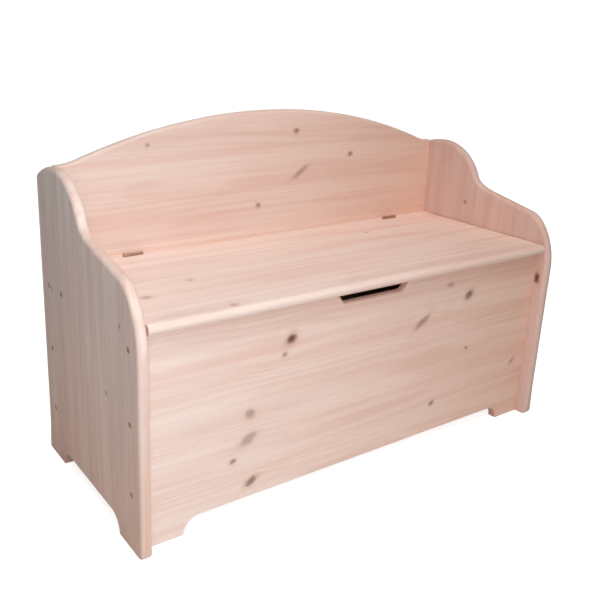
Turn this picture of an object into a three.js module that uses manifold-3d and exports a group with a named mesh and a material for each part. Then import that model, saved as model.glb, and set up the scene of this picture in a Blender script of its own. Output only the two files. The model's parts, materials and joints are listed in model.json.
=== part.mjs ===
// Wooden toy box that doubles as a low bench: pine panels, an arched back, curved arms,
// and a hinged seat lid held open by two slotted friction stays.
//
// Units are millimetres. +X runs to the box's right as one faces its front, +Y to the back, +Z up.
// The origin is on the floor, at the middle of the width and of the side panels' depth.

import * as THREE from 'three';
import { mergeVertices } from 'three/addons/utils/BufferGeometryUtils.js';
import Module from 'manifold-3d';

const wasm = await Module();
wasm.setup();

// ---------------------------------------------------------------- driving dimensions

const WIDTH = 914;             // over the outer faces of the side panels
const DEPTH = 396;             // front edge to back edge of a side panel
const SEAT_HEIGHT = 374;       // top face of the lid
const BOARD = 18;              // thickness of every pine board
const FIT = 0.25;              // gap left at a glued or butted joint

const FRONT_RECESS = 26;       // side panel's front edge to the front panel's face
const BACK_RECESS = 30;        // side panel's back edge to the back panel's rear face
const LID_SETBACK = 8.5;       // side panel's front edge to the lid's nose
const LID_SIDE_GAP = 2;        // lid end to side panel
const LID_REST_GAP = 1;        // lid's underside to the front panel's top edge

const CUT_HEIGHT = 28;         // height, and corner radius, of the cut-outs between the feet
const PANEL_FOOT = 66;         // length of a foot on the front and back panels
const SIDE_FOOT_FRONT = 82;    // length of a side panel's front foot
const TOE_RADIUS = 12;         // rounding at the foremost tip of that foot
const SIDE_FOOT_BACK = 74;     // length of a side panel's back foot

const ARCH_PEAK = 619.5;       // top of the back panel in the middle
const ARCH_RADIUS = 1143;      // main arc of the back panel's top edge
const ARCH_FLARE_RADIUS = 107; // concave flare that meets each side panel level

const SCOOP_TOP = 180;         // finger scoop, width at the front panel's top edge
const SCOOP_BOTTOM = 122;      // finger scoop, width at its floor
const SCOOP_DEPTH = 19;

const FLOOR_THICKNESS = 12;    // storage floor panel
const CLEAT = 17;              // square section of the strips under the storage floor

const RAIL_HEIGHT = 44;        // hinge rail behind the lid
const SEAM = 1;                // gap between the rail and the lid
const BATTEN_WIDTH = 44;       // strips that keep the lid flat
const BATTEN_LENGTH = 250;
const BATTEN_X = 290;

const DOWEL_RADIUS = 5;
const DOWEL_LENGTH = 60;
const DOWEL_CLEARANCE = 0.15;
const DOWEL_HEIGHTS = [98, 215.5, 333];

const HINGE_X = 311;           // middle of each butt hinge
const HINGE_LENGTH = 38;
const HINGE_LEAF_HEIGHT = 13;
const HINGE_LEAF = 1.2;        // sheet thickness
const KNUCKLE_RADIUS = 3;
const KNUCKLE_RISE = 3.3;      // hinge axis above the lid's top face
const HINGE_PIN_RADIUS = 1.25;
const RUNNING_GAP = 0.1;       // radial gap of a pin in its knuckle or bore
const HINGE_SCREW_X = 12;      // screws to each side of a hinge's middle

const STAY_REACH = 150;        // hinge axis to lid pivot, and hinge axis to wall stud
const STAY_ANGLE = THREE.MathUtils.degToRad(30);  // between those two lines, lid shut
const STAY_DROP = 14;          // lid's underside to the lid pivot
const STAY_SHEET = 2;          // sheet thickness of arm and brackets
const STAY_ARM_WIDTH = 16;
const STAY_STUD_RADIUS = 2.6;
const STAY_SLOT_RADIUS = 3.2;
const LID_OPENING = Math.PI / 2;

const ARC_STEPS = 9;           // steps in a Bezier curve; an arc takes twice as many
const BAR_SIDES = 16;
const SCREW_SIDES = 10;

// ---------------------------------------------------------------- derived positions

const half = WIDTH / 2;
const innerHalf = half - BOARD;
const frontEdge = -DEPTH / 2;
const backEdge = DEPTH / 2;
const frontFace = frontEdge + FRONT_RECESS;
const frontInside = frontFace + BOARD;
const backRear = backEdge - BACK_RECESS;
const backFace = backRear - BOARD;
const lidUnderside = SEAT_HEIGHT - BOARD;
const frontTop = lidUnderside - LID_REST_GAP;
const lidFront = frontEdge + LID_SETBACK;
const railFace = backFace - FIT - BOARD;
const lidBack = railFace - SEAM;
const hingeAxisY = railFace - SEAM / 2;
const hingeAxisZ = SEAT_HEIGHT + KNUCKLE_RISE;
const cleatTop = CUT_HEIGHT + 1 + CLEAT;
const floorTop = cleatTop + FIT + FLOOR_THICKNESS;
const sides = [['left', -1], ['right', 1]];

// ---------------------------------------------------------------- materials

function finish(hex, roughness, metalness = 0) {
  return new THREE.MeshStandardMaterial({ color: hex, roughness, metalness });
}

const pine = () => finish(0xe3bfae, 0.55);
const pineInside = () => finish(0xdcb9a4, 0.6);
const endGrain = () => finish(0xb88f78, 0.65);
const brass = () => finish(0xb08d57, 0.35, 1);
const zincSteel = () => finish(0xb9bcc0, 0.4, 1);

// ---------------------------------------------------------------- solids

/** Closed three.js geometry to a solid that can be cut and joined. */
function solid(geometry) {
  const bare = geometry.clone();
  bare.deleteAttribute('normal');
  bare.deleteAttribute('uv');
  const merged = mergeVertices(bare, 1e-4);
  return new wasm.Manifold(new wasm.Mesh({
    numProp: 3,
    vertProperties: new Float32Array(merged.attributes.position.array),
    triVerts: new Uint32Array(merged.index.array),
  }));
}

/** Solid back to a three.js geometry. */
function toGeometry(body) {
  const { vertProperties, triVerts } = body.getMesh();
  const geometry = new THREE.BufferGeometry();
  geometry.setAttribute('position', new THREE.BufferAttribute(vertProperties, 3));
  geometry.setIndex(new THREE.BufferAttribute(triVerts, 1));
  geometry.computeVertexNormals();
  return geometry;
}

/** Base geometry less every cutter. */
function cut(base, cutters) {
  return toGeometry(cutters.reduce((body, tool) => body.subtract(solid(tool)), solid(base)));
}

/** Several overlapping geometries as one solid. */
function join(geometries) {
  const [first, ...rest] = geometries.map(solid);
  return rest.reduce((body, piece) => body.add(piece), first);
}

function makeMesh(name, geometry, material, x = 0, y = 0, z = 0) {
  const mesh = new THREE.Mesh(geometry, material);
  mesh.name = name;
  mesh.position.set(x, y, z);
  return mesh;
}

/** Block between two corners. */
function block(x0, x1, y0, y1, z0, z1) {
  const geometry = new THREE.BoxGeometry(x1 - x0, y1 - y0, z1 - z0);
  return geometry.translate((x0 + x1) / 2, (y0 + y1) / 2, (z0 + z1) / 2);
}

/** Outline in (y, z), extruded along +X from x0. */
function extrudeAlongX(outline, x0, thickness) {
  const geometry = new THREE.ExtrudeGeometry(outline, {
    depth: thickness, bevelEnabled: false, curveSegments: ARC_STEPS,
  });
  const axes = new THREE.Matrix4().makeBasis(
    new THREE.Vector3(0, 1, 0), new THREE.Vector3(0, 0, 1), new THREE.Vector3(1, 0, 0));
  return geometry.applyMatrix4(axes).translate(x0, 0, 0);
}

/** Outline in (x, z), extruded along +Y from y0. */
function extrudeAlongY(outline, y0, thickness) {
  const geometry = new THREE.ExtrudeGeometry(outline, {
    depth: thickness, bevelEnabled: false, curveSegments: ARC_STEPS,
  });
  return geometry.rotateX(Math.PI / 2).translate(0, y0 + thickness, 0);
}

/** Turned profile of [radius, height] points, standing along +Z. */
function turn(profile, facets = BAR_SIDES) {
  const points = profile.map(([radius, height]) => new THREE.Vector2(radius, height));
  return new THREE.LatheGeometry(points, facets).rotateX(Math.PI / 2);
}

/** Plain round bar along +Z, from z0 upwards. */
function roundBar(radius, length, z0 = 0) {
  return turn([[0, z0], [radius, z0], [radius, z0 + length], [0, z0 + length]]);
}

/** Turns a geometry that stands along +Z so that it lies along the given direction. */
function aim(geometry, x, y, z) {
  const turnTo = new THREE.Quaternion().setFromUnitVectors(
    new THREE.Vector3(0, 0, 1), new THREE.Vector3(x, y, z));
  return geometry.applyQuaternion(turnTo);
}

// ---------------------------------------------------------------- countersunk screw

const SCREW_HEAD_RADIUS = 3;
const SCREW_HEAD_HEIGHT = 1.4; // countersunk cone
const SCREW_HEAD_RIM = 0.1;    // flat rim over the cone
const SCREW_SHANK_RADIUS = 1.6;
const SCREW_TIP = 3;
const SCREW_LENGTH = 14;
const SCREW_CLEARANCE = 0.2;

/** Turned screw, swollen by an allowance, whose head ends at the given height over the origin. */
function turnScrew(allowance, top) {
  const head = SCREW_HEAD_RADIUS + allowance;
  const shank = SCREW_SHANK_RADIUS + allowance;
  return turn([
    [0, -SCREW_LENGTH - allowance],
    [shank, -SCREW_LENGTH + SCREW_TIP],
    [shank, -SCREW_HEAD_HEIGHT],
    [head, 0],
    [head, top],
    [0, top],
  ], SCREW_SIDES);
}

/** Screw with its head's seat level with the origin and its point along -Z. */
const screwShape = () => turnScrew(0, SCREW_HEAD_RIM);

/** Cutter for that screw's hole and countersink. */
const screwHole = () => turnScrew(SCREW_CLEARANCE, 2);

// ---------------------------------------------------------------- side panels

/** Side outline: u runs from the front edge to the back, z up from the floor. */
function sideOutline() {
  const shape = new THREE.Shape();
  const hump = { u: 310, front: 110, back: 170, top: 545 };
  const rearCorner = { u: DEPTH - 12, z: 516 };
  const humpBackStart = Math.acos((rearCorner.u - hump.u) / hump.back);
  const humpFrontEnd = THREE.MathUtils.degToRad(156);

  shape.moveTo(TOE_RADIUS, 0);
  shape.lineTo(SIDE_FOOT_FRONT, 0);
  shape.absarc(SIDE_FOOT_FRONT + CUT_HEIGHT, 0, CUT_HEIGHT, Math.PI, Math.PI / 2, true);
  shape.absarc(DEPTH - SIDE_FOOT_BACK - CUT_HEIGHT, 0, CUT_HEIGHT, Math.PI / 2, 0, true);
  shape.lineTo(DEPTH, 0);
  shape.lineTo(DEPTH, rearCorner.z);
  const humpStartZ = hump.top - hump.back + hump.back * Math.sin(humpBackStart);
  shape.quadraticCurveTo(DEPTH, humpStartZ - 5, rearCorner.u, humpStartZ);
  shape.absarc(hump.u, hump.top - hump.back, hump.back, humpBackStart, Math.PI / 2, false);
  shape.absarc(hump.u, hump.top - hump.front, hump.front, Math.PI / 2, humpFrontEnd, false);
  shape.bezierCurveTo(203, 465, 179.5, 457.2, 150, 452);
  shape.lineTo(60, 433.5);
  shape.bezierCurveTo(31, 427.5, 0, 381, 0, 328);
  shape.lineTo(0, TOE_RADIUS);
  shape.absarc(TOE_RADIUS, TOE_RADIUS, TOE_RADIUS, Math.PI, 1.5 * Math.PI, false);
  shape.closePath();
  return shape;
}

function makeSidePanels() {
  return sides.map(([name, sign]) => {
    const x0 = sign < 0 ? -half : innerHalf;
    const panel = extrudeAlongX(sideOutline(), x0, BOARD).translate(0, frontEdge, 0);
    const holes = [...dowelHoles(sign), ...stayWallScrews(sign, screwHole)];
    return makeMesh(`${name}_side_panel`, cut(panel, holes), pine());
  });
}

// ---------------------------------------------------------------- front and back panels

/** Adds the lower edge with its two feet to an outline, from left to right. */
function addFeet(shape, halfWidth) {
  const corner = innerHalf - PANEL_FOOT;
  shape.moveTo(-halfWidth, 0);
  shape.lineTo(-corner, 0);
  shape.absarc(-corner + CUT_HEIGHT, 0, CUT_HEIGHT, Math.PI, Math.PI / 2, true);
  shape.absarc(corner - CUT_HEIGHT, 0, CUT_HEIGHT, Math.PI / 2, 0, true);
  shape.lineTo(halfWidth, 0);
}

function makeFrontPanel() {
  const shape = new THREE.Shape();
  const halfWidth = innerHalf - FIT;
  const scoopFloor = frontTop - SCOOP_DEPTH;
  const lip = SCOOP_TOP / 2;
  const bed = SCOOP_BOTTOM / 2;
  const ease = (lip - bed) / 2;
  addFeet(shape, halfWidth);
  shape.lineTo(halfWidth, frontTop);
  shape.lineTo(lip, frontTop);
  shape.bezierCurveTo(lip - ease, frontTop, bed + ease, scoopFloor, bed, scoopFloor);
  shape.lineTo(-bed, scoopFloor);
  shape.bezierCurveTo(-bed - ease, scoopFloor, -lip + ease, frontTop, -lip, frontTop);
  shape.lineTo(-halfWidth, frontTop);
  shape.closePath();
  const panel = extrudeAlongY(shape, frontFace, BOARD);
  const holes = sides.flatMap(([, sign]) => dowelHoles(sign));
  return makeMesh('front_panel', cut(panel, holes), pine());
}

function makeBackPanel() {
  const shape = new THREE.Shape();
  const halfWidth = innerHalf - FIT;
  // The flare is level at the panel's end and tangent to the main arc at its other end.
  const centreZ = ARCH_PEAK - ARCH_RADIUS;
  const reach = ARCH_RADIUS + ARCH_FLARE_RADIUS;
  const flareAngle = Math.asin(halfWidth / reach);
  const flareZ = centreZ + reach * Math.cos(flareAngle);
  addFeet(shape, halfWidth);
  shape.lineTo(halfWidth, flareZ - ARCH_FLARE_RADIUS);
  shape.absarc(halfWidth, flareZ, ARCH_FLARE_RADIUS, -Math.PI / 2, -Math.PI / 2 - flareAngle, true);
  shape.absarc(0, centreZ, ARCH_RADIUS, Math.PI / 2 - flareAngle, Math.PI / 2 + flareAngle, false);
  shape.absarc(-halfWidth, flareZ, ARCH_FLARE_RADIUS, -Math.PI / 2 + flareAngle, -Math.PI / 2, true);
  shape.closePath();
  const panel = extrudeAlongY(shape, backFace, BOARD);
  const holes = sides.flatMap(([, sign]) => dowelHoles(sign));
  return makeMesh('back_panel', cut(panel, holes), pine());
}

// ---------------------------------------------------------------- dowels

const dowelRows = [['front', frontFace + BOARD / 2], ['back', backFace + BOARD / 2]];

/** One dowel lying along X, its outer end just inside the side panel's face. */
function dowelShape(sign, y, z, allowance = 0) {
  const radius = DOWEL_RADIUS + allowance;
  const outward = allowance ? 1 : -FIT;
  const length = DOWEL_LENGTH + outward + allowance;
  const bar = aim(roundBar(radius, length), -sign, 0, 0);
  return bar.translate(sign * (half + outward), y, z);
}

function dowelHoles(sign) {
  return dowelRows.flatMap(([, y]) =>
    DOWEL_HEIGHTS.map((z) => dowelShape(sign, y, z, DOWEL_CLEARANCE)));
}

function makeDowels() {
  return sides.flatMap(([side, sign]) => dowelRows.flatMap(([row, y]) =>
    DOWEL_HEIGHTS.map((z, index) =>
      makeMesh(`dowel_${side}_${row}_${index + 1}`, dowelShape(sign, y, z), endGrain()))));
}

// ---------------------------------------------------------------- storage floor

function makeFloor() {
  const x = innerHalf - FIT;
  const y0 = frontInside + FIT;
  const y1 = backFace - FIT;
  const z0 = cleatTop - CLEAT;
  const cleatLength = x - CLEAT - FIT;
  const strips = [
    ['floor_cleat_front', block(-x, x, y0, y0 + CLEAT, z0, cleatTop)],
    ['floor_cleat_back', block(-x, x, y1 - CLEAT, y1, z0, cleatTop)],
    ['floor_cleat_left', block(-x, -cleatLength, y0 + CLEAT + FIT, y1 - CLEAT - FIT, z0, cleatTop)],
    ['floor_cleat_right', block(cleatLength, x, y0 + CLEAT + FIT, y1 - CLEAT - FIT, z0, cleatTop)],
    ['floor_panel', block(-x, x, y0, y1, cleatTop + FIT, floorTop)],
  ];
  return strips.map(([name, geometry]) => makeMesh(name, geometry, pineInside()));
}

// ---------------------------------------------------------------- lid and hinge rail

/** Lid section in (y, z): square at the back, a round nose at the front. */
function lidOutline() {
  const nose = BOARD / 2;
  const shape = new THREE.Shape();
  shape.moveTo(lidBack, lidUnderside);
  shape.lineTo(lidBack, SEAT_HEIGHT);
  shape.absarc(lidFront + nose, lidUnderside + nose, nose, Math.PI / 2, 1.5 * Math.PI, false);
  shape.closePath();
  return shape;
}

function makeLid() {
  const x = innerHalf - LID_SIDE_GAP;
  const board = extrudeAlongX(lidOutline(), -x, 2 * x);
  const holes = [
    ...hingeCutters(-1),
    ...sides.flatMap(([, sign]) => stayLidScrews(sign, screwHole)),
  ];
  return makeMesh('lid_panel', cut(board, holes), pine());
}

function makeLidBattens() {
  const y0 = (frontInside + railFace - BATTEN_LENGTH) / 2;
  const z1 = lidUnderside - FIT;
  return sides.map(([name, sign]) => makeMesh(
    `lid_batten_${name}`,
    block(-BATTEN_WIDTH / 2, BATTEN_WIDTH / 2, y0, y0 + BATTEN_LENGTH, z1 - BOARD, z1),
    pineInside(), sign * BATTEN_X));
}

function makeHingeRail() {
  const x = innerHalf - FIT;
  const rail = block(-x, x, railFace, railFace + BOARD, SEAT_HEIGHT - RAIL_HEIGHT, SEAT_HEIGHT);
  return makeMesh('hinge_rail', cut(rail, hingeCutters(1)), pine());
}

// ---------------------------------------------------------------- butt hinges

// Each hinge is built round its own pin, which lies along X through the group's origin.
// The two leaves hang side by side in the seam; facing is +1 for the rail, -1 for the lid.

const LEAF_SPLIT = 0.12;       // half the gap between the folded leaves
const leafTop = -KNUCKLE_RISE - 0.1;
const leafBottom = leafTop - HINGE_LEAF_HEIGHT;
const knuckleSpan = HINGE_LENGTH / 3;
const KNUCKLE_GAP = 0.15;

function alongY(facing, near, far) {
  return facing > 0 ? [near, far] : [-far, -near];
}

/** Places a screw, or its hole, at both screw positions of a leaf. */
function hingeScrews(facing, shape) {
  const faceY = facing * LEAF_SPLIT;
  const z = (leafTop + leafBottom) / 2;
  return [-1, 1].map((end) =>
    aim(shape(), 0, -facing, 0).translate(end * HINGE_SCREW_X, faceY, z));
}

function knuckle(x0, x1) {
  return aim(roundBar(KNUCKLE_RADIUS, x1 - x0), 1, 0, 0).translate(x0, 0, 0);
}

function hingeLeaf(facing) {
  const [y0, y1] = alongY(facing, LEAF_SPLIT, LEAF_SPLIT + HINGE_LEAF);
  const end = HINGE_LENGTH / 2;
  const inner = knuckleSpan / 2;
  const spans = facing > 0
    ? [[-end, -inner - KNUCKLE_GAP], [inner + KNUCKLE_GAP, end]]
    : [[-inner + KNUCKLE_GAP, inner - KNUCKLE_GAP]];
  const pieces = [block(-end, end, y0, y1, leafBottom, leafTop)];
  for (const [x0, x1] of spans) {
    pieces.push(knuckle(x0, x1));
    pieces.push(block(x0, x1, y0, y1, leafTop - 1, 0));
  }
  const bore = aim(roundBar(HINGE_PIN_RADIUS + RUNNING_GAP, 2 * HINGE_LENGTH), 1, 0, 0)
    .translate(-HINGE_LENGTH, 0, 0);
  const drilled = [bore, ...hingeScrews(facing, screwHole)]
    .reduce((body, tool) => body.subtract(solid(tool)), join(pieces));
  return toGeometry(drilled);
}

/** Cutters, in the box's frame, for both hinges' shallow recesses and screw holes. */
function hingeCutters(facing) {
  const [y0, y1] = alongY(facing, -SEAM, LEAF_SPLIT + HINGE_LEAF + FIT);
  const end = HINGE_LENGTH / 2 + FIT;
  return sides.flatMap(([, sign]) => [
    block(-end, end, y0, y1, leafBottom - FIT, 1),
    ...hingeScrews(facing, screwHole),
  ].map((tool) => tool.translate(sign * HINGE_X, hingeAxisY, hingeAxisZ)));
}

function makeHinge(side, sign) {
  const hinge = new THREE.Group();
  hinge.position.set(sign * HINGE_X, hingeAxisY, hingeAxisZ);
  const pinLength = HINGE_LENGTH - 2 * KNUCKLE_GAP;
  const pin = aim(roundBar(HINGE_PIN_RADIUS, pinLength), 1, 0, 0).translate(-pinLength / 2, 0, 0);
  hinge.add(makeMesh(`hinge_${side}_rail_leaf`, hingeLeaf(1), brass()));
  hinge.add(makeMesh(`hinge_${side}_lid_leaf`, hingeLeaf(-1), brass()));
  hinge.add(makeMesh(`hinge_${side}_pin`, pin, zincSteel()));
  for (const [leaf, facing] of [['rail', 1], ['lid', -1]]) {
    hingeScrews(facing, screwShape).forEach((geometry, index) => {
      hinge.add(makeMesh(`hinge_${side}_${leaf}_screw_${index + 1}`, geometry, brass()));
    });
  }
  return hinge;
}

// ---------------------------------------------------------------- lid stays

// The lid pivot and the wall stud stand at the same distance from the hinge axis, so the arm
// turns through exactly half the lid's angle. Offsets here are (y, z) from the hinge axis.

const pivotDrop = KNUCKLE_RISE + BOARD + STAY_DROP;
const pivotForward = Math.sqrt(STAY_REACH ** 2 - pivotDrop ** 2);
const studAngle = Math.asin(pivotDrop / STAY_REACH) + STAY_ANGLE;
const pivotY = hingeAxisY - pivotForward;
const pivotZ = hingeAxisZ - pivotDrop;
const studY = hingeAxisY - STAY_REACH * Math.cos(studAngle);
const studZ = hingeAxisZ - STAY_REACH * Math.sin(studAngle);
const shutSpan = 2 * STAY_REACH * Math.sin(STAY_ANGLE / 2);
const openSpan = 2 * STAY_REACH * Math.sin((STAY_ANGLE + LID_OPENING) / 2);

const WALL_PLATE_HALF = 22;    // wall plate's half length
const LID_PLATE_HALF = 18;
const LID_PLATE_WIDTH = 20;
const STAY_SCREW_SPACING = 14; // screws to each side of a plate's middle
const SLOT_END_MARGIN = 9;     // metal left past each end of the slot
const STAY_PLAY = 0.5;         // side play of the arm between its neighbours
const ARM_STANDOFF = 2.5;      // wall plate to arm
const STUD_SHOULDER_RADIUS = 5;
const NUT_HEIGHT = 4;
const NUT_RADIUS = 5;          // over the corners
const EAR_HALF_WIDTH = 9;
const RIVET_HEAD_RADIUS = 4.5;
const RIVET_HEAD_HEIGHT = 1.3;
const RIVET_GAP = 0.3;

const wallPlateInner = innerHalf - FIT - STAY_SHEET;
const armOuter = wallPlateInner - ARM_STANDOFF;
const armInner = armOuter - STAY_SHEET;
const earOuter = armInner - STAY_PLAY;
const earInner = earOuter - STAY_SHEET;

/** Slot-ended outline of the given half width, between two centres along u. */
function obround(u0, u1, radius) {
  const path = new THREE.Shape();
  path.absarc(u0, 0, radius, Math.PI / 2, 1.5 * Math.PI, false);
  path.absarc(u1, 0, radius, -Math.PI / 2, Math.PI / 2, false);
  path.closePath();
  return path;
}

function stayWallScrews(sign, shape) {
  return [-1, 1].map((end) => aim(shape(), -sign, 0, 0)
    .translate(sign * wallPlateInner, studY, studZ + end * STAY_SCREW_SPACING));
}

function stayLidScrews(sign, shape) {
  const x = sign * (earInner - LID_PLATE_WIDTH / 2);
  const z = lidUnderside - FIT - STAY_SHEET;
  return [-1, 1].map((end) => aim(shape(), 0, 0, -1)
    .translate(x, pivotY + end * (STAY_SCREW_SPACING - 3), z));
}

/** Wall plate with its stud, a shoulder that spaces the arm off, and a plain end for the nut. */
function stayWallBracket(sign) {
  const plate = extrudeAlongX(obround(-WALL_PLATE_HALF + 8, WALL_PLATE_HALF - 8, 8), 0, STAY_SHEET)
    .rotateX(Math.PI / 2)
    .translate(sign > 0 ? wallPlateInner : -wallPlateInner - STAY_SHEET, studY, studZ);
  const shoulder = wallPlateInner - armOuter - STAY_PLAY;
  const reach = wallPlateInner - armInner + STAY_PLAY + NUT_HEIGHT + 1;
  const stud = turn([
    [0, -STAY_SHEET / 2],
    [STUD_SHOULDER_RADIUS, -STAY_SHEET / 2],
    [STUD_SHOULDER_RADIUS, shoulder],
    [STAY_STUD_RADIUS, shoulder],
    [STAY_STUD_RADIUS, reach],
    [0, reach],
  ]);
  const placed = aim(stud, -sign, 0, 0).translate(sign * wallPlateInner, studY, studZ);
  const body = stayWallScrews(sign, screwHole)
    .reduce((metal, tool) => metal.subtract(solid(tool)), join([plate, placed]));
  return toGeometry(body);
}

/** Tension nut: hexagonal, with a bore that clears the stud. */
function stayNut(sign) {
  const hexagon = new THREE.CylinderGeometry(NUT_RADIUS, NUT_RADIUS, NUT_HEIGHT, 6)
    .rotateX(Math.PI / 2)
    .translate(0, 0, NUT_HEIGHT / 2);
  const bore = roundBar(STAY_STUD_RADIUS + RUNNING_GAP, NUT_HEIGHT + 2, -1);
  const nut = cut(hexagon, [bore]);
  return aim(nut, -sign, 0, 0).translate(sign * (armInner - STAY_PLAY), studY, studZ);
}

/** Slotted arm, drawn along +Y from its pivot and then swung to where it lies with the lid shut. */
function stayArm(sign) {
  const endRadius = STAY_ARM_WIDTH / 2;
  const farEnd = openSpan + STAY_SLOT_RADIUS + SLOT_END_MARGIN - endRadius;
  const outline = obround(0, farEnd, endRadius);
  outline.holes.push(obround(shutSpan, openSpan, STAY_SLOT_RADIUS));
  const pivotHole = new THREE.Path();
  pivotHole.absarc(0, 0, STAY_STUD_RADIUS + RUNNING_GAP, 0, 2 * Math.PI, true);
  outline.holes.push(pivotHole);
  const x0 = sign > 0 ? armInner : -armOuter;
  return extrudeAlongX(outline, x0, STAY_SHEET)
    .rotateX(Math.atan2(studZ - pivotZ, studY - pivotY))
    .translate(0, pivotY, pivotZ);
}

/** Angle bracket under the lid: a flat plate with one ear hanging down beside the arm. */
function stayLidBracket(sign) {
  const top = lidUnderside - FIT;
  const far = earInner - LID_PLATE_WIDTH;
  const ear = new THREE.Shape();
  ear.moveTo(-EAR_HALF_WIDTH, top - pivotZ);
  ear.lineTo(-EAR_HALF_WIDTH, 0);
  ear.absarc(0, 0, EAR_HALF_WIDTH, Math.PI, 2 * Math.PI, false);
  ear.lineTo(EAR_HALF_WIDTH, top - pivotZ);
  ear.closePath();
  const earX = sign > 0 ? earInner : -earOuter;
  const earBody = extrudeAlongX(ear, earX, STAY_SHEET).translate(0, pivotY, pivotZ);
  const [x0, x1] = sign > 0 ? [far, earOuter] : [-earOuter, -far];
  const [y0, y1] = [pivotY - LID_PLATE_HALF, pivotY + LID_PLATE_HALF];
  const plate = block(x0, x1, y0, y1, top - STAY_SHEET, top);
  const bore = aim(roundBar(STAY_STUD_RADIUS + RUNNING_GAP, 20), -sign, 0, 0)
    .translate(sign * (earOuter + 5), pivotY, pivotZ);
  const body = [bore, ...stayLidScrews(sign, screwHole)]
    .reduce((metal, tool) => metal.subtract(solid(tool)), join([earBody, plate]));
  return toGeometry(body);
}

/** Rivet that holds the arm to the ear: a domed head each side and a plain shank between. */
function stayRivet(sign) {
  const start = armOuter + RIVET_GAP;
  const length = start - (earInner - RIVET_GAP);
  const crown = RIVET_HEAD_RADIUS * 0.7;
  const rivet = turn([
    [0, -RIVET_HEAD_HEIGHT],
    [crown, -RIVET_HEAD_HEIGHT],
    [RIVET_HEAD_RADIUS, 0],
    [STAY_STUD_RADIUS, 0],
    [STAY_STUD_RADIUS, length],
    [RIVET_HEAD_RADIUS, length],
    [crown, length + RIVET_HEAD_HEIGHT],
    [0, length + RIVET_HEAD_HEIGHT],
  ]);
  return aim(rivet, -sign, 0, 0).translate(sign * start, pivotY, pivotZ);
}

function makeStay(side, sign) {
  const stay = new THREE.Group();
  stay.add(makeMesh(`stay_${side}_wall_bracket`, stayWallBracket(sign), zincSteel()));
  stay.add(makeMesh(`stay_${side}_tension_nut`, stayNut(sign), zincSteel()));
  stay.add(makeMesh(`stay_${side}_arm`, stayArm(sign), zincSteel()));
  stay.add(makeMesh(`stay_${side}_lid_bracket`, stayLidBracket(sign), zincSteel()));
  stay.add(makeMesh(`stay_${side}_rivet`, stayRivet(sign), zincSteel()));
  stayWallScrews(sign, screwShape).forEach((geometry, index) => {
    stay.add(makeMesh(`stay_${side}_wall_screw_${index + 1}`, geometry, zincSteel()));
  });
  stayLidScrews(sign, screwShape).forEach((geometry, index) => {
    stay.add(makeMesh(`stay_${side}_lid_screw_${index + 1}`, geometry, zincSteel()));
  });
  return stay;
}

// ---------------------------------------------------------------- assembly

const toyBox = new THREE.Group();
toyBox.add(...makeSidePanels(), makeFrontPanel(), makeBackPanel(), ...makeDowels());
toyBox.add(...makeFloor());
toyBox.add(makeLid(), ...makeLidBattens(), makeHingeRail());
for (const [side, sign] of sides) {
  toyBox.add(makeHinge(side, sign));
  toyBox.add(makeStay(side, sign));
}

export default toyBox;
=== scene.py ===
"""Wooden toy box that doubles as a low bench, dressed for its portrait.

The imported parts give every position. This script makes a finer board, dowel, hinge or stay
piece for each of them, gives it its wood or metal, and sets the studio round the box.

Sizes are millimetres unless a name ends in _m. X runs to the box's right as one faces its
front, Y to the back and Z up.
"""

import json
import logging
import math
from collections.abc import Callable, Iterable, Sequence
from dataclasses import dataclass, field
from enum import Enum
from typing import Protocol

import bmesh
import bpy
import numpy as np
from mathutils import Matrix, Vector
from mathutils.geometry import tessellate_polygon

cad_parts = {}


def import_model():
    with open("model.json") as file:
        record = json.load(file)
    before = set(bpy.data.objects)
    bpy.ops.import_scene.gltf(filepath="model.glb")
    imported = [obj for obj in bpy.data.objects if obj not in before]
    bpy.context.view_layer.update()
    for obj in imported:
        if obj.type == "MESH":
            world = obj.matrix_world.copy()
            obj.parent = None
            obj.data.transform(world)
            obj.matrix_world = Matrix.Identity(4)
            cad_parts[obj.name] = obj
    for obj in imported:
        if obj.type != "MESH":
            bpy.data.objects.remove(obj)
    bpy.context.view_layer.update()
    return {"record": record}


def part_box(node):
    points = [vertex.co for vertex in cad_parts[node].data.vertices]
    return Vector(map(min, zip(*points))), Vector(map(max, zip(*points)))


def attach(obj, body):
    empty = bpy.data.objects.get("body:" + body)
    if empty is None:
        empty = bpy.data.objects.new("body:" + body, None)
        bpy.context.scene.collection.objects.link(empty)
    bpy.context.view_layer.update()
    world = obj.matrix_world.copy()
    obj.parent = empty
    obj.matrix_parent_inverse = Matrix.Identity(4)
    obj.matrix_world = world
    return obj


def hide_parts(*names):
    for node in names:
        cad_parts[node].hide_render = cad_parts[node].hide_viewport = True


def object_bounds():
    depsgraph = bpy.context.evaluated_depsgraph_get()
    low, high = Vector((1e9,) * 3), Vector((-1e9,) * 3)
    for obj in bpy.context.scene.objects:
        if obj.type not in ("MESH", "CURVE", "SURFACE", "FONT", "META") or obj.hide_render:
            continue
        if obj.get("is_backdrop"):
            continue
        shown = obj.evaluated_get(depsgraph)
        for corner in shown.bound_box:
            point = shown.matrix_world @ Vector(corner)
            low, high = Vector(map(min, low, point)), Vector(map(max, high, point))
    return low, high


LOG = logging.getLogger("toy_box")
MM = 0.001
ROUND_STEPS = 6        # facets across a rounded-over edge
SHARP_ANGLE = math.radians(38)
TOUCHING = 0.01        # points of an outline that are closer than this are one point
WELD_GAP_M = 1e-7      # corners of a mesh that are closer than this are one corner
Point = tuple[float, float]
Loop = list[tuple[float, float, float]]  # points of an outline, each with its edge rounding


class Axis(Enum):
    """An axis of the box's own frame."""

    X = 0
    Y = 1
    Z = 2


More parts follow.
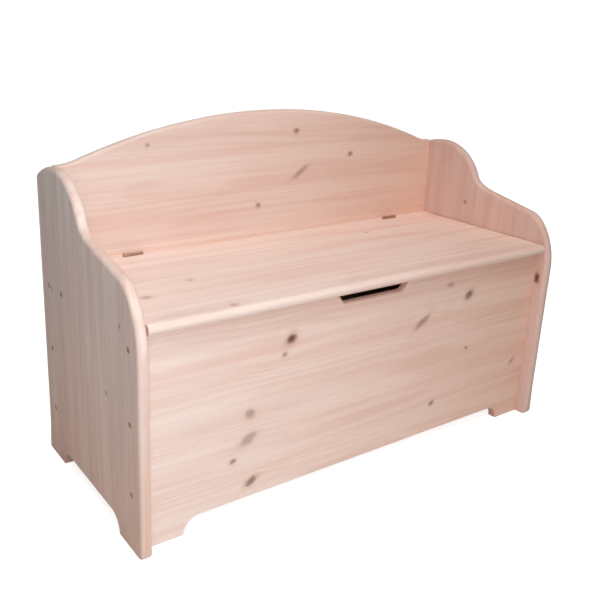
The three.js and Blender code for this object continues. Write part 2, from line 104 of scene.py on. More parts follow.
class Plane(Enum):
    """The axes that an outline's two directions and its thickness run along."""

    SIDE = (Axis.Y, Axis.Z, Axis.X)
    FRONT = (Axis.X, Axis.Z, Axis.Y)
    FLAT = (Axis.X, Axis.Y, Axis.Z)

    def place(self, across: float, up: float, depth: float) -> Vector:
        """Turns a point of the outline into a point of the box.

        Args:
            across: Along the outline's first direction.
            up: Along its second direction.
            depth: Along the thickness.

        Returns:
            The point in metres.
        """
        point = Vector((0.0, 0.0, 0.0))
        for axis, value in zip(self.value, (across, up, depth)):
            point[axis.value] = value * MM
        return point


class Joining(Enum):
    """How a tool changes a piece."""

    CUT = "DIFFERENCE"
    WELD = "UNION"
    KEEP_COMMON = "INTERSECT"


# ---------------------------------------------------------------- outlines


class Pen:
    """Draws a closed outline, anticlockwise for a board and clockwise for a hole."""

    LINE_STEP = 6.0
    ARC_STEP = math.radians(6)
    CURVE_STEPS = 20

    def __init__(self, across: float, up: float, ease: float) -> None:
        """Puts the pen down.

        Args:
            across: First coordinate of the starting point.
            up: Second coordinate of the starting point.
            ease: Radius of the rounded edge there.
        """
        self.points: Loop = [(across, up, ease)]

    def _run(self, steps: int, ease: float | None, where: Callable[[float], Point]) -> "Pen":
        """Adds points along a stroke, easing evenly from the last radius to the new one.

        Args:
            steps: Number of points to add.
            ease: Edge radius at the stroke's end, or None to keep the last.
            where: Gives a point for a share of the stroke from 0 to 1.

        Returns:
            The pen.
        """
        start = self.points[-1][2]
        end = start if ease is None else ease
        for step in range(1, steps + 1):
            share = step / steps
            across, up = where(share)
            self.points.append((across, up, start + (end - start) * share))
        return self

    def line(self, across: float, up: float, ease: float | None = None) -> "Pen":
        """Draws a straight stroke.

        Args:
            across: First coordinate of its end.
            up: Second coordinate of its end.
            ease: Edge radius at its end.

        Returns:
            The pen.
        """
        x0, y0, before = self.points[-1]
        length = math.dist((x0, y0), (across, up))
        steps = 1 if ease in (None, before) else max(2, round(length / self.LINE_STEP))
        return self._run(steps, ease, lambda s: (x0 + (across - x0) * s, y0 + (up - y0) * s))

    def arc(self, centre: Point, radius: float, start: float, end: float,
            ease: float | None = None, steps: int = 0) -> "Pen":
        """Draws an arc that begins where the pen is.

        Args:
            centre: Its centre.
            radius: Its radius.
            start: Angle at its start, in degrees.
            end: Angle at its end, in degrees.
            ease: Edge radius at its end.
            steps: Number of points, or 0 to choose them by the angle.

        Returns:
            The pen.
        """
        first, last = math.radians(start), math.radians(end)
        count = steps or max(3, math.ceil(abs(last - first) / self.ARC_STEP))

        def where(share: float) -> Point:
            """Point at a share of the arc."""
            angle = first + (last - first) * share
            return centre[0] + radius * math.cos(angle), centre[1] + radius * math.sin(angle)

        if math.dist(self.points[-1][:2], where(0.0)) > TOUCHING:
            self.line(*where(0.0))
        return self._run(count, ease, where)

    def curve(self, first: Point, second: Point, end: Point,
              ease: float | None = None) -> "Pen":
        """Draws a smooth curve with two handles.

        Args:
            first: Handle that it leaves towards.
            second: Handle that it arrives from.
            end: Its end.
            ease: Edge radius at its end.

        Returns:
            The pen.
        """
        start, first_h, second_h, last = (
            Vector(p) for p in (self.points[-1][:2], first, second, end))

        def where(s: float) -> Point:
            """Point at a share of the curve."""
            t = 1 - s
            at = start * t**3 + first_h * 3 * t * t * s + second_h * 3 * t * s * s + last * s**3
            return at.x, at.y

        return self._run(self.CURVE_STEPS, ease, where)

    def loop(self) -> Loop:
        """Lifts the pen.

        Returns:
            The closed outline, with no point repeated.
        """
        first, last = self.points[0], self.points[-1]
        closed = math.dist(first[:2], last[:2]) < TOUCHING
        return self.points[:-1] if closed else list(self.points)


def round_hole(across: float, up: float, radius: float, ease: float, sides: int = 32) -> Loop:
    """Outline of a round hole.

    Args:
        across: First coordinate of its centre.
        up: Second coordinate of its centre.
        radius: Its radius.
        ease: Rounding of its rim.
        sides: Number of sides.

    Returns:
        The clockwise outline.
    """
    angles = [-2 * math.pi * side / sides for side in range(sides)]
    return [(across + radius * math.cos(a), up + radius * math.sin(a), ease) for a in angles]


def rounded_rectangle(low: Point, high: Point, corner: float, ease: float) -> Loop:
    """Outline of a rectangle with rounded corners.

    Args:
        low: Its lower left corner.
        high: Its upper right corner.
        corner: Radius of its corners.
        ease: Rounding of its edges.

    Returns:
        The outline.
    """
    (x0, y0), (x1, y1) = low, high
    pen = Pen(x0 + corner, y0, ease)
    turns = [(x1 - corner, y0 + corner, -90), (x1 - corner, y1 - corner, 0),
             (x0 + corner, y1 - corner, 90), (x0 + corner, y0 + corner, 180)]
    for x, y, start in turns:
        pen.arc((x, y), corner, start, start + 90, steps=5)
    return pen.loop()


def slot_outline(start: float, end: float, radius: float, ease: float) -> Loop:
    """Outline of a bar with round ends, lying along the first direction.

    Args:
        start: Centre of its first end.
        end: Centre of its other end.
        radius: Half its width.
        ease: Rounding of its edges.

    Returns:
        The outline.
    """
    pen = Pen(end, -radius, ease)
    pen.arc((end, 0), radius, -90, 90, steps=16)
    return pen.arc((start, 0), radius, 90, 270, steps=16).loop()


def swing(loop: Loop, angle: float, across: float, up: float) -> Loop:
    """Turns an outline about its origin and moves it.

    Args:
        loop: The outline.
        angle: The turn, in radians.
        across: The move along the first direction.
        up: The move along the second direction.

    Returns:
        The outline in its new place.
    """
    c, s = math.cos(angle), math.sin(angle)
    return [(across + u * c - v * s, up + u * s + v * c, ease) for u, v, ease in loop]


# ---------------------------------------------------------------- solid pieces


def mitres(points: np.ndarray) -> np.ndarray:
    """Directions that move an outline inwards by one unit all round.

    Args:
        points: Corners of the outline, one a row.

    Returns:
        One vector a corner, longer where the corner is sharp.
    """
    ahead = np.roll(points, -1, axis=0) - points
    ahead /= np.linalg.norm(ahead, axis=1, keepdims=True)
    normal = np.stack([-ahead[:, 1], ahead[:, 0]], axis=1)
    before = np.roll(normal, 1, axis=0)
    return (normal + before) / (1 + np.sum(normal * before, axis=1, keepdims=True))


def finish_mesh(name: str, shape: bmesh.types.BMesh) -> bpy.types.Object:
    """Turns a built shape into an object, with its faces outwards.

    Args:
        name: Name of the object.
        shape: The shape, which is freed.

    Returns:
        The object.
    """
    bmesh.ops.remove_doubles(shape, verts=shape.verts, dist=WELD_GAP_M)
    bmesh.ops.recalc_face_normals(shape, faces=shape.faces)
    mesh = bpy.data.meshes.new(name)
    shape.to_mesh(mesh)
    shape.free()
    piece = bpy.data.objects.new(name, mesh)
    bpy.context.scene.collection.objects.link(piece)
    return piece


def slab(name: str, outer: Loop, depth: tuple[float, float], plane: Plane,
         holes: Sequence[Loop] = (), steps: int = ROUND_STEPS) -> bpy.types.Object:
    """Sawn and rounded-over board, or a piece of sheet metal.

    Args:
        name: Name of the piece.
        outer: Its outline.
        depth: Where its two faces are along the thickness.
        plane: How it stands in the box.
        holes: Outlines of the holes through it.
        steps: Facets across each rounded edge.

    Returns:
        The piece.
    """
    shape = bmesh.new()
    caps: list[list[list[bmesh.types.BMVert]]] = [[], []]
    flats: list[list[np.ndarray]] = [[], []]
    quarter = [math.pi / 2 * step / steps for step in range(steps + 1)]
    for loop in (outer, *holes):
        corners = np.array(loop, float)
        flat, ease = corners[:, :2], corners[:, 2]
        inward = mitres(flat)
        rings = []
        for face, sign, angles in ((depth[0], 1, quarter), (depth[1], -1, quarter[::-1])):
            for angle in angles:
                inset = flat + inward * (ease * (1 - math.sin(angle)))[:, None]
                level = face + sign * ease * (1 - math.cos(angle))
                rings.append([shape.verts.new(plane.place(u, v, w))
                              for (u, v), w in zip(inset, level)])
                if angle == 0:
                    flats[sign < 0].append(inset)
        for ring, following in zip(rings, rings[1:]):
            for i, vertex in enumerate(ring):
                j = (i + 1) % len(ring)
                shape.faces.new((vertex, ring[j], following[j], following[i]))
        caps[0].append(rings[0])
        caps[1].append(rings[-1])
    for rings, outlines in zip(caps, flats):
        vertices = [vertex for ring in rings for vertex in ring]
        drawn = [[Vector((u, v, 0.0)) for u, v in outline] for outline in outlines]
        for triangle in tessellate_polygon(drawn):
            shape.faces.new([vertices[i] for i in triangle])
    return finish_mesh(name, shape)


def rounded_bar(name: str, low: Vector, high: Vector, plane: Plane, corner: float,
                ease: float) -> bpy.types.Object:
    """Bar or board with a rectangular outline.

    Args:
        name: Name of the piece.
        low: Its lowest corner.
        high: Its highest corner.
        plane: The plane that its outline lies in.
        corner: Radius of the outline's corners.
        ease: Rounding of the two faces' edges.

    Returns:
        The piece.
    """
    u, v, w = (axis.value for axis in plane.value)
    outline = rounded_rectangle((low[u], low[v]), (high[u], high[v]), corner, ease)
    return slab(name, outline, (low[w], high[w]), plane)


def turned(name: str, profile: Iterable[Point], foot: Sequence[float],
           towards: Sequence[float], sides: int = 32) -> bpy.types.Object:
    """Piece turned on a lathe.

    Args:
        name: Name of the piece.
        profile: Its radius and height at each step, from its foot up.
        foot: Where height 0 is.
        towards: Direction that its height runs in.
        sides: Number of sides.

    Returns:
        The piece.
    """
    shape = bmesh.new()
    rings = []
    for radius, height in profile:
        if radius == 0:
            rings.append([shape.verts.new((0, 0, height))])
            continue
        angles = [2 * math.pi * side / sides for side in range(sides)]
        rings.append([shape.verts.new((radius * math.cos(a), radius * math.sin(a), height))
                      for a in angles])
    for ring, following in zip(rings, rings[1:]):
        for i in range(sides):
            j = (i + 1) % sides
            corners = [ring[i % len(ring)], ring[j % len(ring)],
                       following[j % len(following)], following[i % len(following)]]
            shape.faces.new(list(dict.fromkeys(corners)))
    turn = Vector((0, 0, 1)).rotation_difference(Vector(towards)).to_matrix().to_4x4()
    move = Matrix.Translation(Vector(foot))
    bmesh.ops.transform(shape, matrix=Matrix.Scale(MM, 4) @ move @ turn, verts=shape.verts)
    return finish_mesh(name, shape)


def rework(piece: bpy.types.Object, tools: Sequence[bpy.types.Object],
           joining: Joining = Joining.CUT) -> bpy.types.Object:
    """Cuts tools out of a piece, or welds them on, and throws the tools away.

    Args:
        piece: The piece.
        tools: The tools.
        joining: What they do.

    Returns:
        The piece.
    """
    for tool in tools:
        change = piece.modifiers.new("rework", "BOOLEAN")
        change.object = tool
        change.operation = joining.value
        change.solver = "EXACT"
    bpy.context.view_layer.update()
    view = bpy.context.evaluated_depsgraph_get()
    mesh = bpy.data.meshes.new_from_object(piece.evaluated_get(view))
    piece.modifiers.clear()
    before, piece.data = piece.data, mesh
    bpy.data.meshes.remove(before)
    mesh.name = piece.name
    for tool in tools:
        data = tool.data
        bpy.data.objects.remove(tool)
        bpy.data.meshes.remove(data)
    return piece


def box_of(node: str) -> tuple[Vector, Vector]:
    """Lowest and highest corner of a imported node, in millimetres."""
    low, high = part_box(node)
    return low / MM, high / MM


def middle_of(node: str) -> Vector:
    """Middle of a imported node's box, in millimetres."""
    low, high = box_of(node)
    return (low + high) / 2


# ---------------------------------------------------------------- finishes


def linear(hexadecimal: str) -> tuple[float, float, float, float]:
    """Turns an sRGB colour into the linear one that shaders take.

    Args:
        hexadecimal: The colour, such as "#E3BFAE".

    Returns:
        Red, green, blue and an alpha of 1.
    """
    parts = [int(hexadecimal[i:i + 2], 16) / 255 for i in (1, 3, 5)]
    red, green, blue = (
        part / 12.92 if part <= 0.04045 else ((part + 0.055) / 1.055) ** 2.4 for part in parts)
    return red, green, blue, 1.0


def add(tree: bpy.types.NodeTree, kind: str, *values: object,
        named: dict[str | int, object] | None = None, stops: Sequence[tuple[float, str]] = (),
        **settings: object) -> bpy.types.Node:
    """Adds a node with its settings and links.

    Args:
        tree: The material's nodes.
        kind: The node's type, without its "ShaderNode".
        *values: For its inputs in order: a node, a socket, or a plain value.
        named: The same for inputs given by name.
        stops: Positions and colours, for a colour ramp.
        **settings: The node's own settings.

    Returns:
        The node.
    """
    node = tree.nodes.new("ShaderNode" + kind)
    for setting, value in settings.items():
        setattr(node, setting, value)
    for key, value in [*enumerate(values), *(named or {}).items()]:
        if isinstance(value, bpy.types.Node):
            value = value.outputs[0]
        if isinstance(value, bpy.types.NodeSocket):
            tree.links.new(value, node.inputs[key])
        else:
            node.inputs[key].default_value = value
    for index, (position, colour) in enumerate(stops):
        elements = node.color_ramp.elements
        stop = elements[index] if index < 2 else elements.new(position)
        stop.position, stop.color = position, linear(colour)
    return node


def start_material(name: str) -> tuple[bpy.types.Material, bpy.types.NodeTree]:
    """Makes a material with no nodes.

    Args:
        name: Its name.

    Returns:
        The material and its node tree.
    """
    material = bpy.data.materials.new(name)
    material.use_nodes = True
    material.node_tree.nodes.clear()
    return material, material.node_tree


class Finish(Protocol):
    """What a wood or a metal has: a name, and a way to make its material."""

    name: str

    def material(self) -> bpy.types.Material:
        """Builds the material."""


@dataclass(frozen=True)
class Knot:
    """Knot on a board's face: where it is along and across the grain, and how it looks."""

    along: float
    across: float
    radius: float
    dark: float = 0.8
    stretch: float = 1.15
    tilt: float = 0.0


@dataclass(frozen=True)
class Figure:
    """Random figure in wood, drawn out along the grain."""

    length: float
    width: float
    detail: float
    roughness: float = 0.5

    def lay(self, tree: bpy.types.NodeTree, board: bpy.types.Node,
            offset: bpy.types.Node | Sequence[float] = (0.0, 0.0, 0.0)) -> bpy.types.Node:
        """Lays the figure over a board.

        Args:
            tree: The material's nodes.
            board: Position along, across and through the board.
            offset: The board's own place in the figure, so that no two boards are alike.

        Returns:
            Its strength, about 0.5 on average.
        """
        across = 1 / self.width
        spread = add(tree, "Mapping", board, named={
            "Location": offset, "Scale": (1 / self.length, across, across)})
        return add(tree, "TexNoise", spread, named={
            "Scale": 1.0, "Detail": self.detail, "Roughness": self.roughness})


@dataclass(frozen=True)
class PlanedPine:
    """Solid pine, glued up from staves, planed, sanded and left pale under a matt wax.

    Soft paler earlywood between thin pinkish latewood lines gives long faint streaks; each
    stave is a slightly different tone; small brown knots bend the grain round themselves. Light
    falloff is painted along each board: a paler, cooler lit tint at one end and a deeper, warmer
    shaded tint at the other, given by depth, from 0 to 1, at the low and the high end of span
    along the grain.
    """

    name: str
    grain: Axis
    face: Axis
    thickness: Axis
    seed: float
    knots: tuple[Knot, ...] = ()
    stave: float = 92.0
    shift: float = 0.3
    ring: float = 6.5  # real rings are 2 to 4 mm; drawn coarser, or they would blur away
    # depth and span place the painted light falloff: 0 is the lit tint, 1 the shaded tint
    depth: tuple[float, float] = (0.5, 0.5)
    span: tuple[float, float] = (-457.0, 457.0)
    pale: str = "#F3DACB"
    late: str = "#DDAF9A"
    blush: str = "#E9BFAE"
    cut_end: str = "#DDAE96"
    knot_core: str = "#7B4A36"
    knot_rim: str = "#54301F"
    halo: str = "#C99A84"
    painted_lit_tint: tuple[float, float, float] = (1.04, 1.11, 1.18)    # painted light: tint of a board's lit, paler end
    painted_shade_tint: tuple[float, float, float] = (0.98, 0.88, 0.84)  # painted shade: tint of its shaded, deeper end
    wander: Figure = Figure(640.0, 120.0, 2.5)   # of the pith, along the trunk
    ripple: Figure = Figure(140.0, 15.0, 2.0)
    fibres: Figure = Figure(34.0, 1.4, 4.0, 0.62)
    streaks: Figure = Figure(520.0, 15.0, 3.0)
    patches: Figure = Figure(330.0, 46.0, 2.0)
    glue_line: float = 0.6  # a real one is a hair of shadow; drawn wider so that it shows

    def material(self) -> bpy.types.Material:
        """Builds the wood.

        Returns:
            The material.
        """
        material, tree = start_material(self.name)
        place = add(tree, "TexCoord")
        scaled = add(tree, "VectorMath", place.outputs["Object"], named={"Scale": 1 / MM},
                     operation="SCALE")
        axes = add(tree, "SeparateXYZ", scaled).outputs
        along, across, through = (
            axes[axis.value] for axis in (self.grain, self.face, self.thickness))
        board = add(tree, "CombineXYZ", along, across, through)

        # Each stave has its own tone, and its own place in the trunk.
        staves = add(tree, "Math", across, 1 / self.stave, self.shift, operation="MULTIPLY_ADD")
        number = add(tree, "Math", staves, operation="FLOOR")
        inside = add(tree, "Math", staves, operation="FRACT")
        lot = add(tree, "Math", number, self.seed, operation="ADD")
        draw = add(tree, "TexWhiteNoise", named={"W": lot}, noise_dimensions="1D")
        chance = add(tree, "SeparateColor", draw.outputs["Color"]).outputs

        core, halo, bend, nearest = self.knot_fields(tree, board, across)
        late = self.latewood(tree, board, inside, chance, bend)
        fibre = self.fibres.lay(tree, board)
        colour = self.clear_wood(tree, board, late, fibre, chance[2])

        line = add(tree, "Math", inside, 0.5, operation="SUBTRACT")
        line = add(tree, "Math", line, operation="ABSOLUTE")
        line = add(tree, "MapRange", line, 0.5 - self.glue_line / self.stave, 0.5, 0.0, 0.22)
        colour = add(tree, "Mix", named={
            "Factor": line.outputs[0], 6: colour.outputs[0], 7: linear(self.halo)},
            data_type="RGBA").outputs[2]

        # Sawn end grain drinks the wax and is deeper in colour.
        facing = add(tree, "SeparateXYZ", place.outputs["Normal"]).outputs[self.grain.value]
        facing = add(tree, "Math", facing, operation="ABSOLUTE")
        end = add(tree, "MapRange", facing, 0.35, 0.95, 0.0, 0.45)
        colour = add(tree, "Mix", named={
            "Factor": end.outputs[0], 6: colour, 7: linear(self.cut_end)},
            data_type="RGBA").outputs[2]

        if self.knots:
            colour = add(tree, "Mix", named={
                "Factor": halo, 6: colour, 7: linear(self.halo)}, data_type="RGBA").outputs[2]
            heart = add(tree, "ValToRGB", nearest, stops=[
                (0.0, self.knot_rim), (0.35, self.knot_core), (0.8, self.knot_core),
                (1.0, self.knot_rim)])
            colour = add(tree, "Mix", named={
                "Factor": core, 6: colour, 7: heart.outputs[0]}, data_type="RGBA").outputs[2]

        height = add(tree, "Math", late, 0.4, fibre, operation="MULTIPLY_ADD")
        bump = add(tree, "Bump", named={"Strength": 0.3, "Distance": 0.25 * MM,
                                        "Height": height})
        rough = add(tree, "Math", fibre, 0.18, 0.44, operation="MULTIPLY_ADD")
        surface = add(tree, "BsdfPrincipled", named={
            "Base Color": colour, "Roughness": rough, "Normal": bump, "IOR": 1.45,
            "Specular IOR Level": 0.38})
        add(tree, "OutputMaterial", surface)
        return material

    def latewood(self, tree: bpy.types.NodeTree, board: bpy.types.Node,
                 inside: bpy.types.Node, chance: Sequence[bpy.types.NodeSocket],
                 bend: bpy.types.Node | float) -> bpy.types.Node:
        """The darker, later part of each growth ring.

        Args:
            tree: The material's nodes.
            board: Position along, across and through the board.
            inside: Place across a stave, from 0 to 1.
            chance: Three random numbers for the stave.
            bend: How far the knots push the grain aside.

        Returns:
            Strength of the latewood.
        """
        along, _, through = add(tree, "SeparateXYZ", board).outputs
        apart = add(tree, "Math", chance[0], 40.0, operation="MULTIPLY")
        apart = add(tree, "CombineXYZ", self.seed, apart, 0.0)
        drift = self.wander.lay(tree, board, apart)
        ripple = self.ripple.lay(tree, board, (0.0, self.seed, 0.0))

        # Distance from the pith, which lies behind the face and wanders along the board.
        off_centre = add(tree, "Math", inside, chance[0], operation="SUBTRACT")
        off_centre = add(tree, "Math", off_centre, 1.5 * self.stave, bend,
                         operation="MULTIPLY_ADD")
        behind = add(tree, "Math", chance[1], 55.0, 24.0, operation="MULTIPLY_ADD")
        behind = add(tree, "Math", behind, through, operation="ADD")
        reach = add(tree, "CombineXYZ", off_centre, behind, 0.0)
        reach = add(tree, "VectorMath", reach, operation="LENGTH").outputs["Value"]
        reach = add(tree, "Math", drift, 22.0, reach, operation="MULTIPLY_ADD")
        reach = add(tree, "Math", ripple, 2.4, reach, operation="MULTIPLY_ADD")
        taper = add(tree, "Math", chance[2], 0.03, -0.015, operation="MULTIPLY_ADD")
        reach = add(tree, "Math", taper, along, reach, operation="MULTIPLY_ADD")

        # A ring darkens slowly and ends at once, where the next year's wood begins.
        year = add(tree, "Math", reach, 1 / self.ring, operation="MULTIPLY")
        year = add(tree, "Math", year, operation="FRACT")
        late = add(tree, "MapRange", year, 0.25, 0.86, 0.0, 1.0,
                   interpolation_type="SMOOTHSTEP")
        stop = add(tree, "MapRange", year, 0.9, 1.0, 1.0, 0.0, interpolation_type="SMOOTHSTEP")
        return add(tree, "Math", late, stop, operation="MULTIPLY")

    def clear_wood(self, tree: bpy.types.NodeTree, board: bpy.types.Node,
                   late: bpy.types.Node, fibre: bpy.types.Node,
                   chance: bpy.types.NodeSocket) -> bpy.types.Node:
        """Colour of the wood between its knots and glue lines, with light falloff painted along
        the grain.

        Args:
            tree: The material's nodes.
            board: Position along, across and through the board.
            late: Strength of the latewood.
            fibre: Strength of the fibres.
            chance: Random number for the stave's tone.

        Returns:
            The colour.
        """
        streak = self.streaks.lay(tree, board, (self.seed, 0.0, 0.0))
        streak = add(tree, "MapRange", streak, 0.42, 0.70, 0.0, 1.0,
                     interpolation_type="SMOOTHSTEP")

        # The rings stand out in some patches of a board and almost vanish in others.
        patch = self.patches.lay(tree, board, (0.0, 0.0, self.seed))
        patch = add(tree, "MapRange", patch, 0.36, 0.64, 0.0, 1.0,
                    interpolation_type="SMOOTHSTEP")
        strong = add(tree, "Math", patch, 0.21, 0.08, operation="MULTIPLY_ADD")
        colour = add(tree, "Mix", named={
            "Factor": add(tree, "Math", late, strong, operation="MULTIPLY"),
            6: linear(self.pale), 7: linear(self.late)}, data_type="RGBA").outputs[2]
        flush = add(tree, "Math", patch, 0.22, operation="MULTIPLY")
        flush = add(tree, "Math", streak, 0.45, flush, operation="MULTIPLY_ADD")
        colour = add(tree, "Mix", named={
            "Factor": flush, 6: colour, 7: linear(self.blush)}, data_type="RGBA").outputs[2]

        # Painted light falloff: lit tint to shaded tint along the board; each stave has its own
        # tone.
        along = add(tree, "SeparateXYZ", board).outputs[0]
        # deep runs from 0 at the lit end to 1 at the shaded end of the painted falloff
        deep = add(tree, "MapRange", along, *self.span, *self.depth)
        deep.clamp = False
        painted_falloff_tint = add(tree, "Mix", named={"Factor": deep, 4: self.painted_lit_tint, 5: self.painted_shade_tint},
                   data_type="VECTOR", clamp_factor=False).outputs[1]
        colour = add(tree, "VectorMath", colour, painted_falloff_tint, operation="MULTIPLY")
        tone = add(tree, "Math", chance, 0.1, 0.95, operation="MULTIPLY_ADD")
        shade = add(tree, "Math", fibre, 0.18, -0.09, operation="MULTIPLY_ADD")
        tone = add(tree, "Math", shade, tone, operation="ADD")
        return add(tree, "VectorMath", colour, named={"Scale": tone}, operation="SCALE")

    def knot_fields(self, tree: bpy.types.NodeTree, board: bpy.types.Node,
                    across: bpy.types.NodeSocket) -> tuple[bpy.types.Node | float, ...]:
        """Fields that the knots add to the board.

        Args:
            tree: The material's nodes.
            board: Position along, across and through the board.
            across: Position across the grain.

        Returns:
            Strength of the knots, strength of the stain round them, how far the grain is
            pushed aside, and the distance to the nearest knot as a share of its radius.
        """
        core, halo, bend, nearest = 0.0, 0.0, 0.0, 9.0
        if not self.knots:
            return core, halo, bend, nearest
        face = add(tree, "VectorMath", board, (1.0, 1.0, 0.0), operation="MULTIPLY")
        ragged = add(tree, "TexNoise", face, named={"Scale": 0.16, "Detail": 2.0})
        ragged = add(tree, "VectorMath", ragged.outputs["Color"], (0.5, 0.5, 0.5),
                     operation="SUBTRACT")
        torn = add(tree, "VectorMath", ragged, (8.0, 8.0, 0.0), face, operation="MULTIPLY_ADD")
        for knot in self.knots:
            shape = {"Location": (knot.along, knot.across, 0.0),
                     "Rotation": (0.0, 0.0, math.radians(knot.tilt))}
            near = add(tree, "Mapping", torn, vector_type="TEXTURE", named={
                **shape, "Scale": (knot.radius * knot.stretch, knot.radius, 1.0)})
            near = add(tree, "VectorMath", near, operation="LENGTH").outputs["Value"]
            nearest = add(tree, "Math", near, nearest, operation="MINIMUM")
            body = add(tree, "MapRange", near, 1.45, 0.4, 0.0, knot.dark,
                       interpolation_type="SMOOTHSTEP")
            core = add(tree, "Math", body, core, operation="MAXIMUM")
            stain = add(tree, "MapRange", near, 2.5, 1.0, 0.0, 0.4 * knot.dark,
                        interpolation_type="SMOOTHSTEP")
            halo = add(tree, "Math", stain, halo, operation="MAXIMUM")

            # Above a knot the grain is pushed one way, below it the other.
            wide = add(tree, "Mapping", face, vector_type="TEXTURE", named={
                **shape, "Scale": (6.5 * knot.radius, 3.2 * knot.radius, 1.0)})
            wide = add(tree, "VectorMath", wide, wide, operation="DOT_PRODUCT").outputs["Value"]
            wide = add(tree, "Math", wide, -1.0, operation="MULTIPLY")
            wide = add(tree, "Math", wide, operation="EXPONENT")
            push = add(tree, "Math", across, -knot.across, operation="ADD")
            push = add(tree, "Math", push, -0.85, operation="MULTIPLY")
            bend = add(tree, "Math", push, wide, bend, operation="MULTIPLY_ADD")
        return core, halo, bend, nearest


@dataclass(frozen=True)
class DowelEnd:
    """Sawn and sanded end of a hardwood dowel: deeper brown, with fine open pores."""

    name: str = "beech_dowel_end"
    pale: str = "#C49A80"
    deep: str = "#8E6450"

    def material(self) -> bpy.types.Material:
        """Builds the end grain.

        Returns:
            The material.
        """
        material, tree = start_material(self.name)
        place = add(tree, "TexCoord")
        scaled = add(tree, "Mapping", place.outputs["Object"], named={
            "Scale": (60.0, 1 / MM, 1 / MM)})
        # Pores stand about 0.6 mm apart, in clouds 2.5 mm wide.
        pores = add(tree, "TexVoronoi", scaled, named={"Scale": 1.6})
        cloud = add(tree, "TexNoise", scaled, named={"Scale": 0.4, "Detail": 3.0})
        mixed = add(tree, "Math", pores.outputs["Distance"], 0.5, cloud,
                    operation="MULTIPLY_ADD")
        colour = add(tree, "ValToRGB", mixed, stops=[(0.35, self.deep), (0.95, self.pale)])
        bump = add(tree, "Bump", named={"Strength": 0.4, "Distance": 0.2 * MM, "Height": mixed})
        rough = add(tree, "Math", mixed, 0.2, 0.5, operation="MULTIPLY_ADD")
        surface = add(tree, "BsdfPrincipled", named={
            "Base Color": colour, "Roughness": rough, "Normal": bump})
        add(tree, "OutputMaterial", surface)
        return material


@dataclass(frozen=True)
class Metal:
    """Metal fitting: clouded by handling, with fine scratches that soften its shine."""

    name: str
    bright: str
    dull: str
    smooth: float
    rough: float
    grain: float  # length of the rolling or drawing marks

    def material(self) -> bpy.types.Material:
        """Builds the metal.

        Returns:
            The material.
        """
        material, tree = start_material(self.name)
        place = add(tree, "TexCoord").outputs["Object"]
        # Handling leaves clouds about 6 mm wide; the marks lie a third of a millimetre apart.
        cloud = add(tree, "TexNoise", place, named={"Scale": 0.16 / MM, "Detail": 4.0})
        marks = add(tree, "Mapping", place, named={
            "Scale": (1 / (self.grain * MM), 3.0 / MM, 3.0 / MM)})
        marks = add(tree, "TexNoise", marks, named={"Scale": 1.0, "Detail": 3.0})
        worn = add(tree, "Math", marks, 0.35, cloud, operation="MULTIPLY_ADD")
        colour = add(tree, "ValToRGB", worn, stops=[(0.5, self.bright), (0.95, self.dull)])
        rough = add(tree, "MapRange", worn, 0.45, 0.9, self.smooth, self.rough)
        bump = add(tree, "Bump", named={"Strength": 0.25, "Distance": 0.05 * MM,
                                        "Height": marks})
        surface = add(tree, "BsdfPrincipled", named={
            "Base Color": colour, "Roughness": rough.outputs[0], "Normal": bump,
            "Metallic": 1.0})
        add(tree, "OutputMaterial", surface)
        return material


# Pale drawn brass under lacquer, warm and softly shiny between its scratches.
BRASS = Metal("lacquered_brass", "#DDBBA0", "#B4917A", 0.36, 0.54, 9.0)
BRASS_SCREW = Metal("brass_screw", "#D9BB98", "#B08C6C", 0.34, 0.54, 3.0)
# Zinc plate on steel is blue-white and a little milky.
ZINC = Metal("zinc_plated_steel", "#C9CCD1", "#9A9EA5", 0.28, 0.48, 12.0)
ZINC_SCREW = Metal("zinc_plated_screw", "#C3C6CB", "#8E9299", 0.3, 0.52, 3.0)
# The hidden boards are a plainer and deeper grade of pine.
PLAIN_PINE = {"pale": "#EED0BB", "late": "#D6A68C", "blush": "#E2B59F"}
UNDIVIDED = 400.0  # a strip is one piece, so its stave is wider than any strip


# ---------------------------------------------------------------- workshop


@dataclass
class Workshop:
    """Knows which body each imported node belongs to, and hands finished pieces over."""

    bodies: dict[str, str]
    materials: dict[str, bpy.types.Material] = field(default_factory=dict)
    evenness: int = 80  # how strongly large faces lead the shading round an edge

    def finish(self, piece: bpy.types.Object, node: str, slot: str, finish: Finish) -> None:
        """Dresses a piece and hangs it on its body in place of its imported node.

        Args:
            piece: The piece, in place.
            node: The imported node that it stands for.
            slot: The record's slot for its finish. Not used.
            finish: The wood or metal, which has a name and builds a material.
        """
        if finish.name not in self.materials:
            self.materials[finish.name] = finish.material()
        mesh = piece.data
        mesh.materials.clear()
        mesh.materials.append(self.materials[finish.name])
        mesh.shade_smooth()
        mesh.set_sharp_from_angle(angle=SHARP_ANGLE)
        even = piece.modifiers.new("even_shading", "WEIGHTED_NORMAL")
        even.keep_sharp = True
        even.weight = self.evenness
        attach(piece, self.bodies[node])
        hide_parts(node)
        LOG.info("%s on %s: %d faces", piece.name, self.bodies[node], len(mesh.polygons))


SIDES = (("left", -1), ("right", 1))
PAIR = (1, 2)  # numbers of the two screws that hold a leaf or a bracket
DOWEL_ROWS = ("front", "back")
DOWEL_COUNT = 3
DOWEL_GAP = 0.15  # glue gap round each dowel


def dowel_nodes(side: str) -> list[str]:
    """Names of the dowels in one side panel."""
    return [f"dowel_{side}_{row}_{number}" for row in DOWEL_ROWS
            for number in range(1, DOWEL_COUNT + 1)]


def dowel_sockets() -> list[bpy.types.Object]:
    """Drills that fit every dowel hole.

    Returns:
        One round bar for each dowel, a little longer than it.
    """
    drills = []
    for side, sign in SIDES:
        for node in dowel_nodes(side):
            low, high = box_of(node)
            middle = (low + high) / 2
            radius = (high.z - low.z) / 2 + DOWEL_GAP
            start = low.x if sign > 0 else high.x
            length = high.x - low.x + 5
            foot = (start - sign * DOWEL_GAP, middle.y, middle.z)
            drills.append(turned("drill", [(0, 0), (radius, 0), (radius, length), (0, length)],
                                 foot, (sign, 0, 0)))
    return drills


